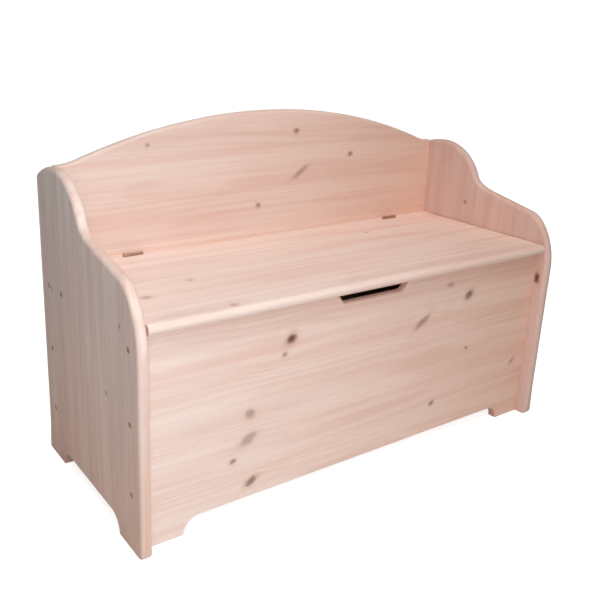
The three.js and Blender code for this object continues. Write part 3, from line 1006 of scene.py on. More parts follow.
@dataclass
class CountersunkScrew:
    """Countersunk wood screw with a cross recess and a cut thread."""

    head_radius: float = 3.0
    head_height: float = 1.4
    head_band: float = 0.12     # straight edge under the head's face
    head_bevel: float = 0.15
    rim: float = 0.1            # how far the head stands over its seat
    shank: float = 1.25
    plain: float = 2.0          # unthreaded length under the head
    thread: float = 1.6
    flank: float = 0.25         # half the width of a thread's foot
    length: float = 14.0
    tip: float = 3.0
    pitch: float = 1.1
    recess: float = 1.9
    recess_width: float = 0.8
    recess_depth: float = 0.55
    clearance: float = 0.2
    sides: int = 24

    def build(self, name: str, seat: Sequence[float],
              outwards: Sequence[float]) -> bpy.types.Object:
        """Makes a screw.

        Args:
            name: Its name.
            seat: Middle of its head, level with the face that it is driven into.
            outwards: Direction that its head faces.

        Returns:
            The screw.
        """
        start = self.tip - self.length
        profile = [(0.0, -self.length), (self.shank * 0.5, -self.length + self.tip * 0.4),
                   (self.shank, start)]
        turns = int((-start - self.head_height - self.plain) / self.pitch)
        for index in range(turns):
            crest = start + (index + 0.5) * self.pitch
            profile += [(self.shank, crest - self.flank), (self.thread, crest),
                        (self.shank, crest + self.flank)]
        profile += [(self.shank, -self.head_height - 0.3), (self.thread, -self.head_height),
                    (self.head_radius, -self.head_band), (self.head_radius, self.rim / 2),
                    (self.head_radius - self.head_bevel, self.rim), (0.0, self.rim)]
        screw = turned(name, profile, seat, outwards, self.sides)
        out = Vector(outwards)
        side = Vector((0, 0, 1)) if abs(out.z) < 0.5 else Vector((1, 0, 0))
        bits = []
        for direction in (side, out.cross(side)):
            reach = Matrix((direction * self.recess,
                            out.cross(direction) * self.recess_width / 2,
                            out * self.recess_depth)).transposed().to_4x4()
            bit = bmesh.new()
            bmesh.ops.create_cube(bit, size=2.0)
            place = Matrix.Translation(Vector(seat)) @ reach
            bmesh.ops.transform(bit, matrix=Matrix.Scale(MM, 4) @ place, verts=bit.verts)
            bits.append(finish_mesh("bit", bit))
        return rework(screw, bits)

    def seats(self, nodes: Iterable[str], outwards: Sequence[float]) -> list[Vector]:
        """Where the heads of some packed screws sit.

        Args:
            nodes: The screws.
            outwards: Direction that their heads face.

        Returns:
            The middle of each head at its seat.
        """
        seats = []
        for node in nodes:
            low, high = box_of(node)
            seat = (low + high) / 2
            for axis, direction in enumerate(outwards):
                if direction:
                    top = high[axis] if direction > 0 else low[axis]
                    seat[axis] = top - direction * self.rim
            seats.append(seat)
        return seats

    def holes(self, nodes: Iterable[str], outwards: Sequence[float]) -> list[bpy.types.Object]:
        """Makes the drill and countersink for some packed screws.

        Args:
            nodes: The screws.
            outwards: Direction that their heads face.

        Returns:
            One cutter for each screw.
        """
        head, shank = self.head_radius + self.clearance, self.thread + self.clearance
        proud = 2.0
        profile = [(0.0, -self.length - 0.3), (shank, -self.length + 1),
                   (shank, -self.head_height), (head, 0.0), (head, proud), (0.0, proud)]
        return [turned("drill", profile, seat, outwards, self.sides)
                for seat in self.seats(nodes, outwards)]

    def drive(self, shop: Workshop, nodes: Sequence[str], outwards: Sequence[float],
              slot: str, finish: Metal) -> None:
        """Makes, dresses and hands over some screws.

        Args:
            shop: The workshop.
            nodes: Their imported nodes.
            outwards: Direction that their heads face.
            slot: The record's slot for their finish.
            finish: Their metal.
        """
        for node, seat in zip(nodes, self.seats(nodes, outwards)):
            shop.finish(self.build(f"{node}_cut", seat, outwards), node, slot, finish)


# ---------------------------------------------------------------- carcass


@dataclass
class SidePanels:
    """The two shaped ends: foot, cut-out, rounded back corner, hump, cove and sloping arm."""

    foot_front: float = 82.0
    foot_back: float = 74.0
    toe: float = 12.0      # rounding at the foremost tip of the front foot
    cut: float = 28.0
    crisp: float = 1.0     # edge rounding under the feet
    eased: float = 2.0     # edge rounding in the cut-out
    soft: float = 8.4      # rounding of the edges that hands and legs touch
    fade: float = 61.0     # height over the floor where that rounding is full
    hump: float = 310.0    # from the front edge to the top of the hump
    hump_back: float = 170.0
    hump_front: float = 110.0
    hump_end: float = 156.0   # angle at which the hump turns into the cove
    corner: Point = (384.0, 516.0)
    # Handles and end of each curve, back from the front edge and up from the floor.
    cove: tuple[Point, ...] = ((203.0, 465.0), (179.5, 457.2), (150.0, 452.0))
    arm: Point = (60.0, 433.5)
    shoulder: tuple[Point, ...] = ((31.0, 427.5), (0.0, 381.0), (0.0, 328.0))
    dowel_rim: float = 0.35   # rounding of the dowel holes
    finishes: dict[str, PlanedPine] = field(default_factory=lambda: {
        # The left panel's depth paints shade: its tint deepens towards the floor and pales
        # towards the top.
        "left": PlanedPine("pine_left_side", Axis.Z, Axis.Y, Axis.X, 3.0, (
            Knot(335, 99, 3.6, 0.85), Knot(331, 146, 3.2, 0.35), Knot(359, -136, 2.6, 0.5),
            Knot(231, -79, 2.8, 0.5)), stave=99.0, shift=0.0, depth=(0.9, -0.3),
            span=(0.0, 545.0)),
        # The right panel's darker, greyer colours are painted shade for its inner face.
        "right": PlanedPine("pine_right_side", Axis.Z, Axis.Y, Axis.X, 11.0, (
            Knot(303, -178, 6.0, 0.95, 1.9), Knot(150, 60, 5.0, 0.7), Knot(420, 30, 3.5, 0.6)),
            stave=99.0, shift=0.0, pale="#E2C5B8", late="#CFA18D", blush="#D9AD9E"),
    })

    def outline(self, low: Vector, high: Vector) -> Loop:
        """Outline in (y, z).

        Args:
            low: Lowest corner of the panel's box.
            high: Highest corner of the panel's box.

        Returns:
            The outline.
        """
        front, back, floor, top = low.y, high.y, low.z, high.z
        hump_y, corner_y = front + self.hump, front + self.corner[0]
        start = math.degrees(math.acos((corner_y - hump_y) / self.hump_back))
        start_z = top - self.hump_back + self.hump_back * math.sin(math.radians(start))
        pen = Pen(front + self.toe, floor, self.crisp)
        pen.line(front + self.foot_front, floor)
        pen.arc((front + self.foot_front + self.cut, floor), self.cut, 180, 90, self.eased)
        pen.arc((back - self.foot_back - self.cut, floor), self.cut, 90, 0, self.crisp)
        pen.line(back, floor)
        pen.line(back, floor + self.fade, self.soft)
        pen.line(back, floor + self.corner[1])
        knee = Vector((back, start_z - 5))
        begin, end = Vector(pen.points[-1][:2]), Vector((corner_y, start_z))
        pen.curve(begin.lerp(knee, 2 / 3), end.lerp(knee, 2 / 3), end)
        pen.arc((hump_y, top - self.hump_back), self.hump_back, start, 90)
        pen.arc((hump_y, top - self.hump_front), self.hump_front, 90, self.hump_end)
        pen.curve(*((front + y, floor + z) for y, z in self.cove))
        pen.line(front + self.arm[0], floor + self.arm[1])
        pen.curve(*((front + y, floor + z) for y, z in self.shoulder))
        pen.line(front, floor + self.fade).line(front, floor + self.toe, self.soft * 0.6)
        return pen.arc((front + self.toe, floor + self.toe), self.toe, 180, 270,
                       self.crisp).loop()

    def build(self, shop: Workshop) -> None:
        """Makes and dresses both panels.

        Args:
            shop: The workshop.
        """
        screw = CountersunkScrew()
        for side, sign in SIDES:
            node = f"{side}_side_panel"
            low, high = box_of(node)
            holes = []
            for name in dowel_nodes(side):
                bottom, top = box_of(name)
                at, radius = (bottom + top) / 2, (top.z - bottom.z) / 2 + DOWEL_GAP
                holes.append(round_hole(at.y, at.z, radius, self.dowel_rim))
            panel = slab(f"{node}_board", self.outline(low, high), (low.x, high.x), Plane.SIDE,
                         holes)
            screws = [f"stay_{side}_wall_screw_{number}" for number in PAIR]
            rework(panel, screw.holes(screws, (-sign, 0, 0)))
            shop.finish(panel, node, "pine_panel", self.finishes[side])


@dataclass
class CrossPanel:
    """A panel that spans the box, standing on two feet beside the side panels."""

    foot: float = 65.75
    cut: float = 28.0
    butt: float = 0.3      # edge rounding where it butts a side panel
    crisp: float = 1.0
    under: float = 2.6     # rounding of the lower edge between the feet
    fade: float = 6.0      # over which an edge's rounding changes at a side panel

    def feet(self, low: Vector, high: Vector) -> Pen:
        """Draws the lower edge from left to right.

        Args:
            low: Lowest corner of the panel's box.
            high: Highest corner of the panel's box.

        Returns:
            The pen, at the right foot's outer corner.
        """
        left, right, floor = low.x + self.foot, high.x - self.foot, low.z
        pen = Pen(low.x, floor, self.butt)
        pen.line(low.x + self.fade, floor, self.crisp).line(left, floor)
        pen.arc((left + self.cut, floor), self.cut, 180, 90, self.under)
        pen.arc((right - self.cut, floor), self.cut, 90, 0, self.crisp)
        return pen.line(high.x - self.fade, floor).line(high.x, floor, self.butt)


@dataclass
class FrontPanel(CrossPanel):
    """The front, with a finger scoop under the lid."""

    scoop_top: float = 180.0
    scoop_bottom: float = 122.0
    scoop_depth: float = 19.0
    lip: float = 1.6       # rounding of the top edge
    scoop_ease: float = 5.0   # rounding of the scoop's edge, for the fingers
    scoop_fade: float = 12.0
    # Its depth paints light falling off across the front: paler at the left end, deeper at the
    # right.
    finish: PlanedPine = PlanedPine("pine_front", Axis.X, Axis.Z, Axis.Y, 21.0, (
        Knot(-177, 295, 7.5, 0.95, 1.25, 30), Knot(-189, 271, 4.0, 0.5),
        Knot(-253, 182, 8.0, 0.42, 1.1), Knot(-255, 137, 8.0, 0.42, 2.0, 25),
        Knot(-284, 104, 4.2, 0.7, 1.3, 15), Knot(-248, 56, 6.0, 0.7, 1.9, 25),
        Knot(122, 266, 6.0, 0.5, 3.4, 33), Knot(243, 299, 7.5, 0.75, 1.4, 30),
        Knot(169, 88, 4.5, 0.65, 1.4, 20), Knot(252, 187, 3.4, 0.6, 1.2),
        Knot(401, 126, 4.5, 0.4, 2.0, 40), Knot(189, 328, 5.0, 0.35, 1.8)),
        stave=88.0, shift=0.05, depth=(-0.05, 1.25))

    def build(self, shop: Workshop) -> None:
        """Makes and dresses the panel.

        Args:
            shop: The workshop.
        """
        low, high = box_of("front_panel")
        half, bed, top = self.scoop_top / 2, self.scoop_bottom / 2, high.z
        ease, floor = (half - bed) / 2, top - self.scoop_depth
        pen = self.feet(low, high)
        pen.line(high.x, top, self.butt).line(high.x - self.fade, top, self.lip)
        pen.line(half + self.scoop_fade, top).line(half, top, self.scoop_ease * 0.7)
        pen.curve((half - ease, top), (bed + ease, floor), (bed, floor), self.scoop_ease)
        pen.line(-bed, floor)
        pen.curve((-bed - ease, floor), (-half + ease, top), (-half, top), self.scoop_ease * 0.7)
        pen.line(-half - self.scoop_fade, top, self.lip).line(low.x + self.fade, top)
        pen.line(low.x, top, self.butt)
        panel = slab("front_panel_board", pen.loop(), (low.y, high.y), Plane.FRONT)
        rework(panel, dowel_sockets())
        shop.finish(panel, "front_panel", "pine_panel", self.finish)


@dataclass
class BackPanel(CrossPanel):
    """The back, which rises in a long arch with a small level flare at each end."""

    arch: float = 1143.0
    flare: float = 107.0
    flare_fade: float = 40.0  # below the flare, over which the edge's rounding begins
    soft: float = 6.8         # rounding of the arch's edge
    # Its depth paints light falling off across the back: paler at the left end, deeper at the
    # right.
    finish: PlanedPine = PlanedPine("pine_back", Axis.X, Axis.Z, Axis.Y, 35.0, (
        Knot(56, 577, 4.5, 0.6, 1.3), Knot(200, 523, 4.5, 0.6, 1.3),
        Knot(71, 494, 5.0, 0.4, 4.6, 33), Knot(-31, 434, 4.5, 0.6, 1.2),
        Knot(-271, 566, 3.4, 0.42, 1.3, 15), Knot(150, 220, 6.0, 0.8), Knot(-210, 140, 5.0, 0.7),
        Knot(310, 330, 4.0, 0.6)), stave=84.0, shift=0.42, depth=(-0.1, 1.1))

    def build(self, shop: Workshop) -> None:
        """Makes and dresses the panel.

        Args:
            shop: The workshop.
        """
        low, high = box_of("back_panel")
        half, centre = high.x, high.z - self.arch
        reach = self.arch + self.flare
        turn = math.degrees(math.asin(half / reach))
        flare_z = centre + reach * math.cos(math.radians(turn))
        pen = self.feet(low, high)
        pen.line(half, flare_z - self.flare - self.flare_fade, self.butt)
        pen.line(half, flare_z - self.flare, self.soft * 0.6)
        pen.arc((half, flare_z), self.flare, -90, -90 - turn, self.soft, steps=12)
        pen.arc((0, centre), self.arch, 90 - turn, 90 + turn, steps=48)
        pen.arc((-half, flare_z), self.flare, -90 + turn, -90, self.soft * 0.6, steps=12)
        pen.line(-half, flare_z - self.flare - self.flare_fade, self.butt)
        panel = slab("back_panel_board", pen.loop(), (low.y, high.y), Plane.FRONT)
        rework(panel, dowel_sockets())
        shop.finish(panel, "back_panel", "pine_panel", self.finish)


@dataclass
class Dowels:
    """Glued dowels through the side panels into the ends of the front and back."""

    chamfer: float = 0.5   # of the end that shows
    point: tuple[float, float] = (1.5, 2.0)  # taper of the hidden end, across and along
    finish: DowelEnd = DowelEnd()

    def build(self, shop: Workshop) -> None:
        """Makes and dresses every dowel.

        Args:
            shop: The workshop.
        """
        for side, sign in SIDES:
            for node in dowel_nodes(side):
                low, high = box_of(node)
                middle = (low + high) / 2
                radius, length = (high.z - low.z) / 2, high.x - low.x
                start = high.x if sign > 0 else low.x
                bevel = radius - self.chamfer
                profile = [(0, 0), (bevel * 0.6, 0), (bevel, 0.08), (radius, self.chamfer),
                           (radius, length - self.point[1]),
                           (radius - self.point[0], length), (0, length)]
                bar = turned(f"{node}_pin", profile, (start, middle.y, middle.z),
                             (-sign, 0, 0), sides=40)
                shop.finish(bar, node, "dowel_end_grain", self.finish)


@dataclass
class StorageFloor:
    """Boarded floor of the chest on four glued cleats."""

    edge: float = 1.0
    cleat_ease: float = 1.5
    cleat_end: float = 0.6
    boards: PlanedPine = PlanedPine(
        "pine_storage_floor", Axis.X, Axis.Y, Axis.Z, 51.0,
        (Knot(-150, 40, 6.0, 0.8), Knot(240, -70, 5.0, 0.7), Knot(60, 95, 3.5, 0.6)),
        **PLAIN_PINE)

    def build(self, shop: Workshop) -> None:
        """Makes and dresses the floor and its cleats.

        Args:
            shop: The workshop.
        """
        floor = rounded_bar("floor_panel_board", *box_of("floor_panel"), Plane.FLAT, self.edge,
                            self.edge)
        shop.finish(floor, "floor_panel", "pine_inside", self.boards)
        strips = {"front": (Axis.X, Plane.SIDE), "back": (Axis.X, Plane.SIDE),
                  "left": (Axis.Y, Plane.FRONT), "right": (Axis.Y, Plane.FRONT)}
        for index, (place, (grain, plane)) in enumerate(strips.items()):
            node = f"floor_cleat_{place}"
            across = Axis.Y if grain is Axis.X else Axis.X
            wood = PlanedPine(f"pine_cleat_{place}", grain, Axis.Z, across, 60.0 + index,
                              stave=UNDIVIDED, **PLAIN_PINE)
            strip = rounded_bar(f"{node}_strip", *box_of(node), plane, self.cleat_ease,
                                self.cleat_end)
            shop.finish(strip, node, "pine_inside", wood)


# ---------------------------------------------------------------- lid


@dataclass
class ButtHinge:
    """Narrow brass butt hinge whose two leaves hang in the seam under the knuckles."""

    side: str
    leaf: float = 1.2      # thickness of a leaf
    split: float = 0.12    # half the gap between the leaves
    height: float = 13.0
    corner: float = 1.2
    edge: float = 0.15
    knuckle: float = 3.0
    pin: float = 1.25
    gap: float = 0.1       # between the pin and its bore
    length: float = 38.0
    between: float = 0.15  # half the gap between two knuckles
    drop: float = 3.4      # from the pin down to the top of the leaves
    recess: float = 0.25   # gap round a leaf let into the wood
    screw: CountersunkScrew = field(default_factory=CountersunkScrew)

    @property
    def centre(self) -> Vector:
        """Middle of the hinge pin."""
        return middle_of(f"hinge_{self.side}_pin")

    def screws(self, leaf: str) -> list[str]:
        """Names of the screws in one leaf."""
        return [f"hinge_{self.side}_{leaf}_screw_{number}" for number in PAIR]

    def cutters(self, leaf: str, facing: int) -> list[bpy.types.Object]:
        """Tools for the shallow recess and the screw holes of one leaf.

        Args:
            leaf: "rail" or "lid".
            facing: 1 for the rail, behind the seam, or -1 for the lid.

        Returns:
            The tools.
        """
        at, end = self.centre, self.length / 2 + self.recess
        depth = sorted((at.y - facing, at.y + facing * (self.split + self.leaf + self.recess)))
        low = Vector((at.x - end, depth[0], at.z - self.drop - self.height - self.recess))
        high = Vector((at.x + end, depth[1], at.z + 1))
        return [rounded_bar("chisel", low, high, Plane.FRONT, 0.5, 0.01),
                *self.screw.holes(self.screws(leaf), (0, -facing, 0))]

    def knuckle_outline(self, facing: int) -> Loop:
        """Section of a rolled knuckle with the strip that hangs from it.

        Args:
            facing: 1 for the rail's leaf, -1 for the lid's.

        Returns:
            The outline in (y, z) about the pin.
        """
        near, far, radius = self.split, self.split + self.leaf, self.knuckle
        tail = -self.drop - 1
        start = math.degrees(math.atan2(-math.sqrt(radius**2 - far**2), far))
        end = math.degrees(math.atan2(-math.sqrt(radius**2 - near**2), near)) + 360
        pen = Pen(near, tail, 0.18).line(far, tail)
        pen.arc((0, 0), radius, start, end, steps=40)
        loop = pen.loop()
        return loop if facing > 0 else [(-u, v, ease) for u, v, ease in reversed(loop)]

    def leaf_piece(self, leaf: str, facing: int) -> bpy.types.Object:
        """Makes one leaf with its knuckles.

        Args:
            leaf: "rail" or "lid".
            facing: 1 for the rail's leaf, -1 for the lid's.

        Returns:
            The leaf.
        """
        at, end = self.centre, self.length / 2
        inner = self.length / 6
        depth = sorted((at.y + facing * self.split, at.y + facing * (self.split + self.leaf)))
        low = (at.x - end, at.z - self.drop - self.height)
        plate = slab(f"hinge_{self.side}_{leaf}_leaf_plate",
                     rounded_rectangle(low, (at.x + end, at.z - self.drop), self.corner,
                                       self.edge), (depth[0], depth[1]), Plane.FRONT, steps=2)
        spans = ([(-end, -inner - self.between), (inner + self.between, end)] if facing > 0
                 else [(-inner + self.between, inner - self.between)])
        outline = swing(self.knuckle_outline(facing), 0.0, at.y, at.z)
        bore = round_hole(at.y, at.z, self.pin + self.gap, self.edge, sides=24)
        knuckles = [slab("knuckle", outline, (at.x + a, at.x + b), Plane.SIDE, [bore], steps=2)
                    for a, b in spans]
        rework(plate, knuckles, Joining.WELD)
        return rework(plate, self.screw.holes(self.screws(leaf), (0, -facing, 0)))

    def build(self, shop: Workshop) -> None:
        """Makes and dresses the leaves, the pin and the screws.

        Args:
            shop: The workshop.
        """
        for leaf, facing in (("rail", 1), ("lid", -1)):
            node = f"hinge_{self.side}_{leaf}_leaf"
            shop.finish(self.leaf_piece(leaf, facing), node, "hinge_brass", BRASS)
            self.screw.drive(shop, self.screws(leaf), (0, -facing, 0), "screw_brass",
                             BRASS_SCREW)
        node = f"hinge_{self.side}_pin"
        low, high = box_of(node)
        length, radius = high.x - low.x, self.pin
        profile = [(0, 0), (radius * 0.6, 0.06), (radius * 0.9, 0.25), (radius, 0.5),
                   (radius, length - 0.5), (radius * 0.9, length - 0.25),
                   (radius * 0.6, length - 0.06), (0, length)]
        pin = turned(f"{node}_wire", profile, (low.x, self.centre.y, self.centre.z), (1, 0, 0))
        shop.finish(pin, node, "stay_steel", ZINC)


@dataclass
class Seat:
    """The lid with its round nose and battens, and the fixed rail that it is hinged to."""

    arris: float = 1.5     # rounding of the seat's back edges
    end: float = 1.2       # rounding of its ends
    rail_edge: float = 1.2
    rail_end: float = 0.4
    batten_corner: float = 4.0
    batten_ease: float = 3.0
    # The lid's depth paints light falling off along the seat: paler at the left end, deeper at
    # the right.
    lid: PlanedPine = PlanedPine("pine_seat", Axis.X, Axis.Y, Axis.Z, 77.0, (
        Knot(-388, -81, 7.0, 0.32), Knot(-290, -39, 6.0, 0.25), Knot(-290, -173, 6.0, 0.3),
        Knot(180, 60, 4.5, 0.3)), stave=96.0, shift=0.6, depth=(0.0, 0.75))
    rail: PlanedPine = PlanedPine("pine_hinge_rail", Axis.X, Axis.Y, Axis.Z, 84.0,
                                  stave=UNDIVIDED)

    def build(self, shop: Workshop, hinges: Sequence[ButtHinge]) -> None:
        """Makes and dresses the lid, its battens and the rail.

        Args:
            shop: The workshop.
            hinges: The hinges that are let into the lid and the rail.
        """
        low, high = box_of("lid_panel")
        nose = (high.z - low.z) / 2
        pen = Pen(high.y - self.arris, low.z, self.end)
        pen.arc((high.y - self.arris, low.z + self.arris), self.arris, -90, 0, steps=4)
        pen.arc((high.y - self.arris, high.z - self.arris), self.arris, 0, 90, steps=4)
        pen.arc((low.y + nose, low.z + nose), nose, 90, 270, steps=28)
        lid = slab("lid_panel_board", pen.loop(), (low.x, high.x), Plane.SIDE)
        tools = [tool for hinge in hinges for tool in hinge.cutters("lid", -1)]
        screw = CountersunkScrew()
        names = [f"stay_{side}_lid_screw_{number}" for side, _ in SIDES for number in PAIR]
        tools += screw.holes(names, (0, 0, -1))
        shop.finish(rework(lid, tools), "lid_panel", "pine_lid", self.lid)

        rail = rounded_bar("hinge_rail_strip", *box_of("hinge_rail"), Plane.SIDE,
                           self.rail_edge, self.rail_end)
        rework(rail, [tool for hinge in hinges for tool in hinge.cutters("rail", 1)])
        shop.finish(rail, "hinge_rail", "pine_panel", self.rail)

        for index, (side, _) in enumerate(SIDES):
            node = f"lid_batten_{side}"
            wood = PlanedPine(f"pine_batten_{side}", Axis.Y, Axis.X, Axis.Z, 90.0 + index,
                              (Knot(-20.0 + 70 * index, -290.0 + 580 * index, 4.0, 0.7),),
                              stave=UNDIVIDED, **PLAIN_PINE)
            batten = rounded_bar(f"{node}_strip", *box_of(node), Plane.FLAT,
                                 self.batten_corner, self.batten_ease)
            shop.finish(batten, node, "pine_inside", wood)


@dataclass
class LidStay:
    """Friction stay: a slotted arm between a stud on the wall and a rivet under the lid."""

    side: str
    sign: int
    sheet: float = 2.0          # thickness of both brackets
    sheet_edge: float = 0.35
    plate_corner: float = 3.0
    width: float = 8.0          # half the arm's width
    stud: float = 2.6
    thread_start: float = 5.0   # from the wall bracket's face
    thread_pitch: float = 0.7
    thread_depth: float = 0.35
    shoulder: float = 5.0
    shoulder_height: float = 2.0
    slot: float = 3.2
    shut_span: float = 77.65    # from the rivet to the slot's first centre
    slot_margin: float = 12.2   # arm's end past the slot's last centre
    nut: float = 5.0
    rivet_head: float = 4.5
    rivet_dome: float = 1.3
    pivot_bore: float = 2.7
    ear: float = 9.0
    screw: CountersunkScrew = field(default_factory=CountersunkScrew)

    def node(self, part: str) -> str:
        """Packed name of one of the stay's parts."""
        return f"stay_{self.side}_{part}"

    def screws(self, part: str) -> list[str]:
        """Names of the two screws that hold a bracket."""
        return [self.node(f"{part}_screw_{number}") for number in PAIR]

    def wall_bracket(self) -> bpy.types.Object:
        """Makes the wall plate with its shouldered, threaded stud.

        Returns:
            The bracket.
        """
        low, high = box_of(self.node("wall_bracket"))
        at = (low + high) / 2
        outer = high.x if self.sign > 0 else low.x
        face = outer - self.sign * self.sheet
        half, radius = (high.z - low.z) / 2, (high.y - low.y) / 2
        outline = swing(slot_outline(-half + radius, half - radius, radius, self.sheet_edge),
                        math.pi / 2, at.y, at.z)
        plate = slab(f"{self.node('wall_bracket')}_sheet", outline, tuple(sorted((face, outer))),
                     Plane.SIDE, steps=3)
        reach = (face - low.x) if self.sign > 0 else (high.x - face)
        profile = [(0, -1), (self.shoulder, -1), (self.shoulder, self.shoulder_height - 0.3),
                   (self.shoulder - 0.3, self.shoulder_height),
                   (self.stud, self.shoulder_height), (self.stud, self.thread_start)]
        height, pitch = self.thread_start, self.thread_pitch
        while height < reach - 1.2:
            profile += [(self.stud - self.thread_depth, height + pitch / 2),
                        (self.stud, height + pitch)]
            height += pitch
        profile += [(self.stud - 0.4, reach), (0, reach)]
        stud = turned("stud", profile, (face, at.y, at.z), (-self.sign, 0, 0))
        rework(plate, [stud], Joining.WELD)
        return rework(plate, self.screw.holes(self.screws("wall"), (-self.sign, 0, 0)))

    def tension_nut(self) -> bpy.types.Object:
        """Makes the hexagonal nut, chamfered at its corners.

        Returns:
            The nut.
        """
        low, high = box_of(self.node("tension_nut"))
        at, height = (low + high) / 2, high.x - low.x
        corners = [(at.y + self.nut * math.cos(math.radians(turn)),
                    at.z + self.nut * math.sin(math.radians(turn)), 0.12)
                   for turn in range(0, 360, 60)]
        bore = round_hole(at.y, at.z, self.stud + 0.1, 0.3, sides=24)
        nut = slab(f"{self.node('tension_nut')}_hexagon", corners, (low.x, high.x), Plane.SIDE,
                   [bore], steps=2)
        flat = self.nut * math.cos(math.radians(30))
        wide = self.nut + 0.3
        profile = [(0, -0.01), (flat, -0.01), (wide, 0.55), (wide, height - 0.55),
                   (flat, height + 0.01), (0, height + 0.01)]
        return rework(nut, [turned("die", profile, (low.x, at.y, at.z), (1, 0, 0), sides=48)],
                      Joining.KEEP_COMMON)

    def arm(self) -> bpy.types.Object:
        """Makes the slotted arm where it lies with the lid shut.

        Returns:
            The arm.
        """
        low, high = box_of(self.node("arm"))
        pivot = middle_of(self.node("rivet"))
        stud = middle_of(self.node("wall_bracket"))
        angle = math.atan2(stud.z - pivot.z, stud.y - pivot.y)
        length = (high.y - low.y - 2 * self.width) / math.cos(angle)
        open_span = length + self.width - self.slot_margin
        outline = slot_outline(0.0, length, self.width, self.sheet_edge)
        slot = list(reversed(slot_outline(self.shut_span, open_span, self.slot,
                                          self.sheet_edge)))
        hole = round_hole(0.0, 0.0, self.pivot_bore, self.sheet_edge)
        outline, slot, hole = (
            swing(loop, angle, pivot.y, pivot.z) for loop in (outline, slot, hole))
        return slab(f"{self.node('arm')}_sheet", outline, (low.x, high.x), Plane.SIDE,
                    [slot, hole], steps=3)

    def lid_bracket(self) -> bpy.types.Object:
        """Makes the angle bracket under the lid.

        Returns:
            The bracket.
        """
        low, high = box_of(self.node("lid_bracket"))
        pivot = middle_of(self.node("rivet"))
        plate = slab(f"{self.node('lid_bracket')}_sheet",
                     rounded_rectangle((low.x, low.y), (high.x, high.y), self.plate_corner,
                                       self.sheet_edge), (high.z - self.sheet, high.z),
                     Plane.FLAT, steps=3)
        pen = Pen(pivot.y - self.ear, high.z - 0.4, self.sheet_edge)
        pen.line(pivot.y - self.ear, pivot.z)
        pen.arc((pivot.y, pivot.z), self.ear, 180, 360, steps=28)
        pen.line(pivot.y + self.ear, high.z - 0.4)
        depth = ((high.x - self.sheet, high.x) if self.sign > 0
                 else (low.x, low.x + self.sheet))
        bore = round_hole(pivot.y, pivot.z, self.pivot_bore, self.sheet_edge, sides=24)
        rework(plate, [slab("ear", pen.loop(), depth, Plane.SIDE, [bore], steps=3)],
               Joining.WELD)
        return rework(plate, self.screw.holes(self.screws("lid"), (0, 0, -1)))

    def rivet(self) -> bpy.types.Object:
        """Makes the rivet with its two domed heads.

        Returns:
            The rivet.
        """
        low, high = box_of(self.node("rivet"))
        at, length = (low + high) / 2, high.x - low.x
        dome = [(self.rivet_head * math.sin(a), self.rivet_dome * (1 - math.cos(a)))
                for a in (math.pi / 2 * k / 6 for k in range(7))]
        head = [(radius, length - height) for radius, height in reversed(dome)]
        profile = [*dome, (self.stud, self.rivet_dome), (self.stud, length - self.rivet_dome),
                   *head]
        return turned(f"{self.node('rivet')}_domed", profile, (low.x, at.y, at.z), (1, 0, 0))

    def build(self, shop: Workshop) -> None:
        """Makes and dresses the stay.

        Args:
            shop: The workshop.
        """
        makers = {"wall_bracket": self.wall_bracket, "tension_nut": self.tension_nut,
                  "arm": self.arm, "lid_bracket": self.lid_bracket, "rivet": self.rivet}
        for part, make in makers.items():
            shop.finish(make(), self.node(part), "stay_steel", ZINC)
        for part, facing in (("wall", (-self.sign, 0, 0)), ("lid", (0, 0, -1))):
            self.screw.drive(shop, self.screws(part), facing, "screw_steel", ZINC_SCREW)


# ---------------------------------------------------------------- studio


@dataclass
class Lamp:
    """Square soft box that points at the box's seat."""

    name: str
    place_m: Sequence[float]
    size_m: float
    watts: float
    colour: str = "#FFFFFF"

    def build(self, target: Vector) -> None:
        """Hangs the lamp.

        Args:
            target: What it points at, in metres.
        """
        light = bpy.data.lights.new(self.name, "AREA")
        light.shape = "SQUARE"
        light.size = self.size_m
        light.energy = self.watts
        light.color = linear(self.colour)[:3]
        lamp = bpy.data.objects.new(self.name, light)
        lamp.location = self.place_m
        lamp.rotation_euler = (target - lamp.location).to_track_quat("-Z", "Y").to_euler()
        bpy.context.scene.collection.objects.link(lamp)


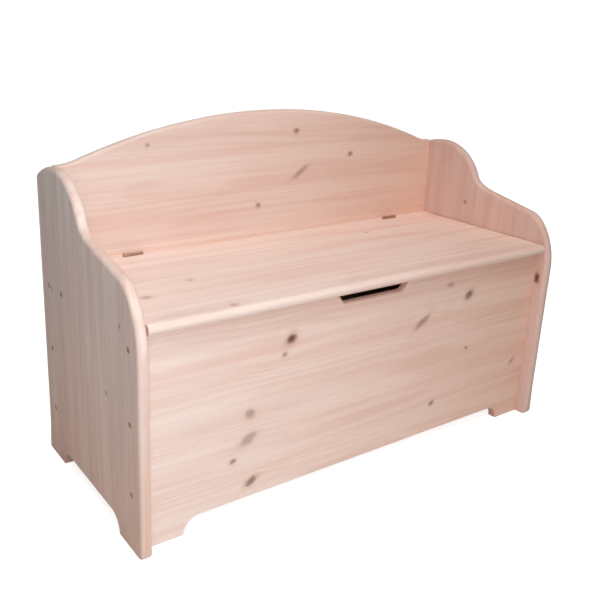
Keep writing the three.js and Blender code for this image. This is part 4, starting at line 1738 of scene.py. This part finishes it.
@dataclass
class Studio:
    """Pale floor, soft light and the camera."""

    eye_m: tuple[float, float, float] = (-0.86566, -1.07693, 0.76859)
    yaw: float = 0.6132
    pitch: float = 0.3085
    roll: float = 0.0358
    lens: float = 45.78
    shift: tuple[float, float] = (0.054, -0.0467)
    floor_m: float = 30.0
    floor_glow: float = 0.8
    sky: str = "#FFFFFF"
    sky_strength: float = 0.1
    sun_strength: float = 0.84
    sun_from: tuple[float, float, float] = (0.0, -0.15, 1.0)
    sun_softness: float = 35.0
    lamps: tuple[Lamp, ...] = (
        Lamp("low_box", (-0.65, -1.15, 0.6), 0.6, 2.5),
        Lamp("middle_box", (-0.7, -1.0, 0.9), 0.6, 4.2),
        Lamp("high_box", (-0.3, -0.75, 1.7), 0.6, 8.3),
        Lamp("back_box", (0.8, 1.6, 0.9), 0.8, 4.0),
    )

    def build(self) -> None:
        """Sets the studio up."""
        scene = bpy.context.scene
        scene.view_settings.view_transform = "Standard"
        low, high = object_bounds()
        target = (Vector(low) + Vector(high)) / 2
        self.lay_floor(Vector(low).z)
        world = bpy.data.worlds.new("studio_air")
        scene.world = world
        world.use_nodes = True
        world.node_tree.nodes.clear()
        tree = world.node_tree
        air = add(tree, "Background", linear(self.sky), self.sky_strength)
        paper = add(tree, "Background", linear("#FFFFFF"), 1.0)
        seen = add(tree, "LightPath").outputs["Is Camera Ray"]
        add(tree, "OutputWorld", add(tree, "MixShader", seen, air, paper))
        sun = bpy.data.lights.new("soft_sun", "SUN")
        sun.energy = self.sun_strength
        sun.angle = math.radians(self.sun_softness)
        holder = bpy.data.objects.new("soft_sun", sun)
        holder.rotation_euler = (-Vector(self.sun_from)).to_track_quat("-Z", "Y").to_euler()
        scene.collection.objects.link(holder)
        for lamp in self.lamps:
            lamp.build(target)
        self.place_camera()

    def lay_floor(self, level_m: float) -> None:
        """Lays the floor.

        Args:
            level_m: Its height.
        """
        shape = bmesh.new()
        bmesh.ops.create_circle(shape, cap_ends=True, segments=96, radius=self.floor_m)
        bmesh.ops.translate(shape, vec=(0, 0, level_m - 0.0005), verts=shape.verts)
        ground = finish_mesh("studio_floor", shape)
        material, tree = start_material("painted_studio_floor")
        place = add(tree, "TexCoord").outputs["Object"]
        cloud = add(tree, "TexNoise", place, named={"Scale": 2.0, "Detail": 3.0})
        paint = add(tree, "ValToRGB", cloud, stops=[(0.3, "#E6E6E6"), (0.7, "#EBEBEB")])
        seen = add(tree, "LightPath").outputs["Is Camera Ray"]
        glow = add(tree, "Math", seen, self.floor_glow, operation="MULTIPLY")
        surface = add(tree, "BsdfPrincipled", named={
            "Base Color": paint, "Roughness": 0.9, "Specular IOR Level": 0.1,
            "Emission Color": linear("#FFFFFF"), "Emission Strength": glow})
        add(tree, "OutputMaterial", surface)
        ground.data.materials.append(material)
        ground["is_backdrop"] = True

    def place_camera(self) -> None:
        """Places the camera and makes it the scene's own."""
        camera = bpy.data.cameras.new("portrait_camera")
        camera.lens = self.lens
        camera.shift_x, camera.shift_y = self.shift
        camera.clip_end = 100.0
        holder = bpy.data.objects.new("portrait_camera", camera)
        ahead = Vector((math.sin(self.yaw) * math.cos(self.pitch),
                        math.cos(self.yaw) * math.cos(self.pitch), -math.sin(self.pitch)))
        right = Vector((math.cos(self.yaw), -math.sin(self.yaw), 0.0))
        up = right.cross(ahead)
        c, s = math.cos(self.roll), math.sin(self.roll)
        axes = Matrix((c * right + s * up, c * up - s * right, -ahead)).transposed()
        holder.matrix_world = Matrix.Translation(self.eye_m) @ axes.to_4x4()
        bpy.context.scene.collection.objects.link(holder)
        bpy.context.scene.camera = holder


# ---------------------------------------------------------------- all together


def main() -> None:
    """Loads the frame, makes every sub-assembly and sets the studio round it."""
    logging.basicConfig(level=logging.INFO, format="%(message)s")
    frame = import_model()
    groups = frame["record"]["behaviour"]["bodies"]
    shop = Workshop({node: body for body, nodes in groups.items() for node in nodes})

    SidePanels().build(shop)
    FrontPanel().build(shop)
    BackPanel().build(shop)
    Dowels().build(shop)
    StorageFloor().build(shop)
    hinges = [ButtHinge(side) for side, _ in SIDES]
    Seat().build(shop, hinges)
    for hinge in hinges:
        hinge.build(shop)
    for side, sign in SIDES:
        LidStay(side, sign).build(shop)
    Studio().build()


if __name__ == "__main__":
    main()
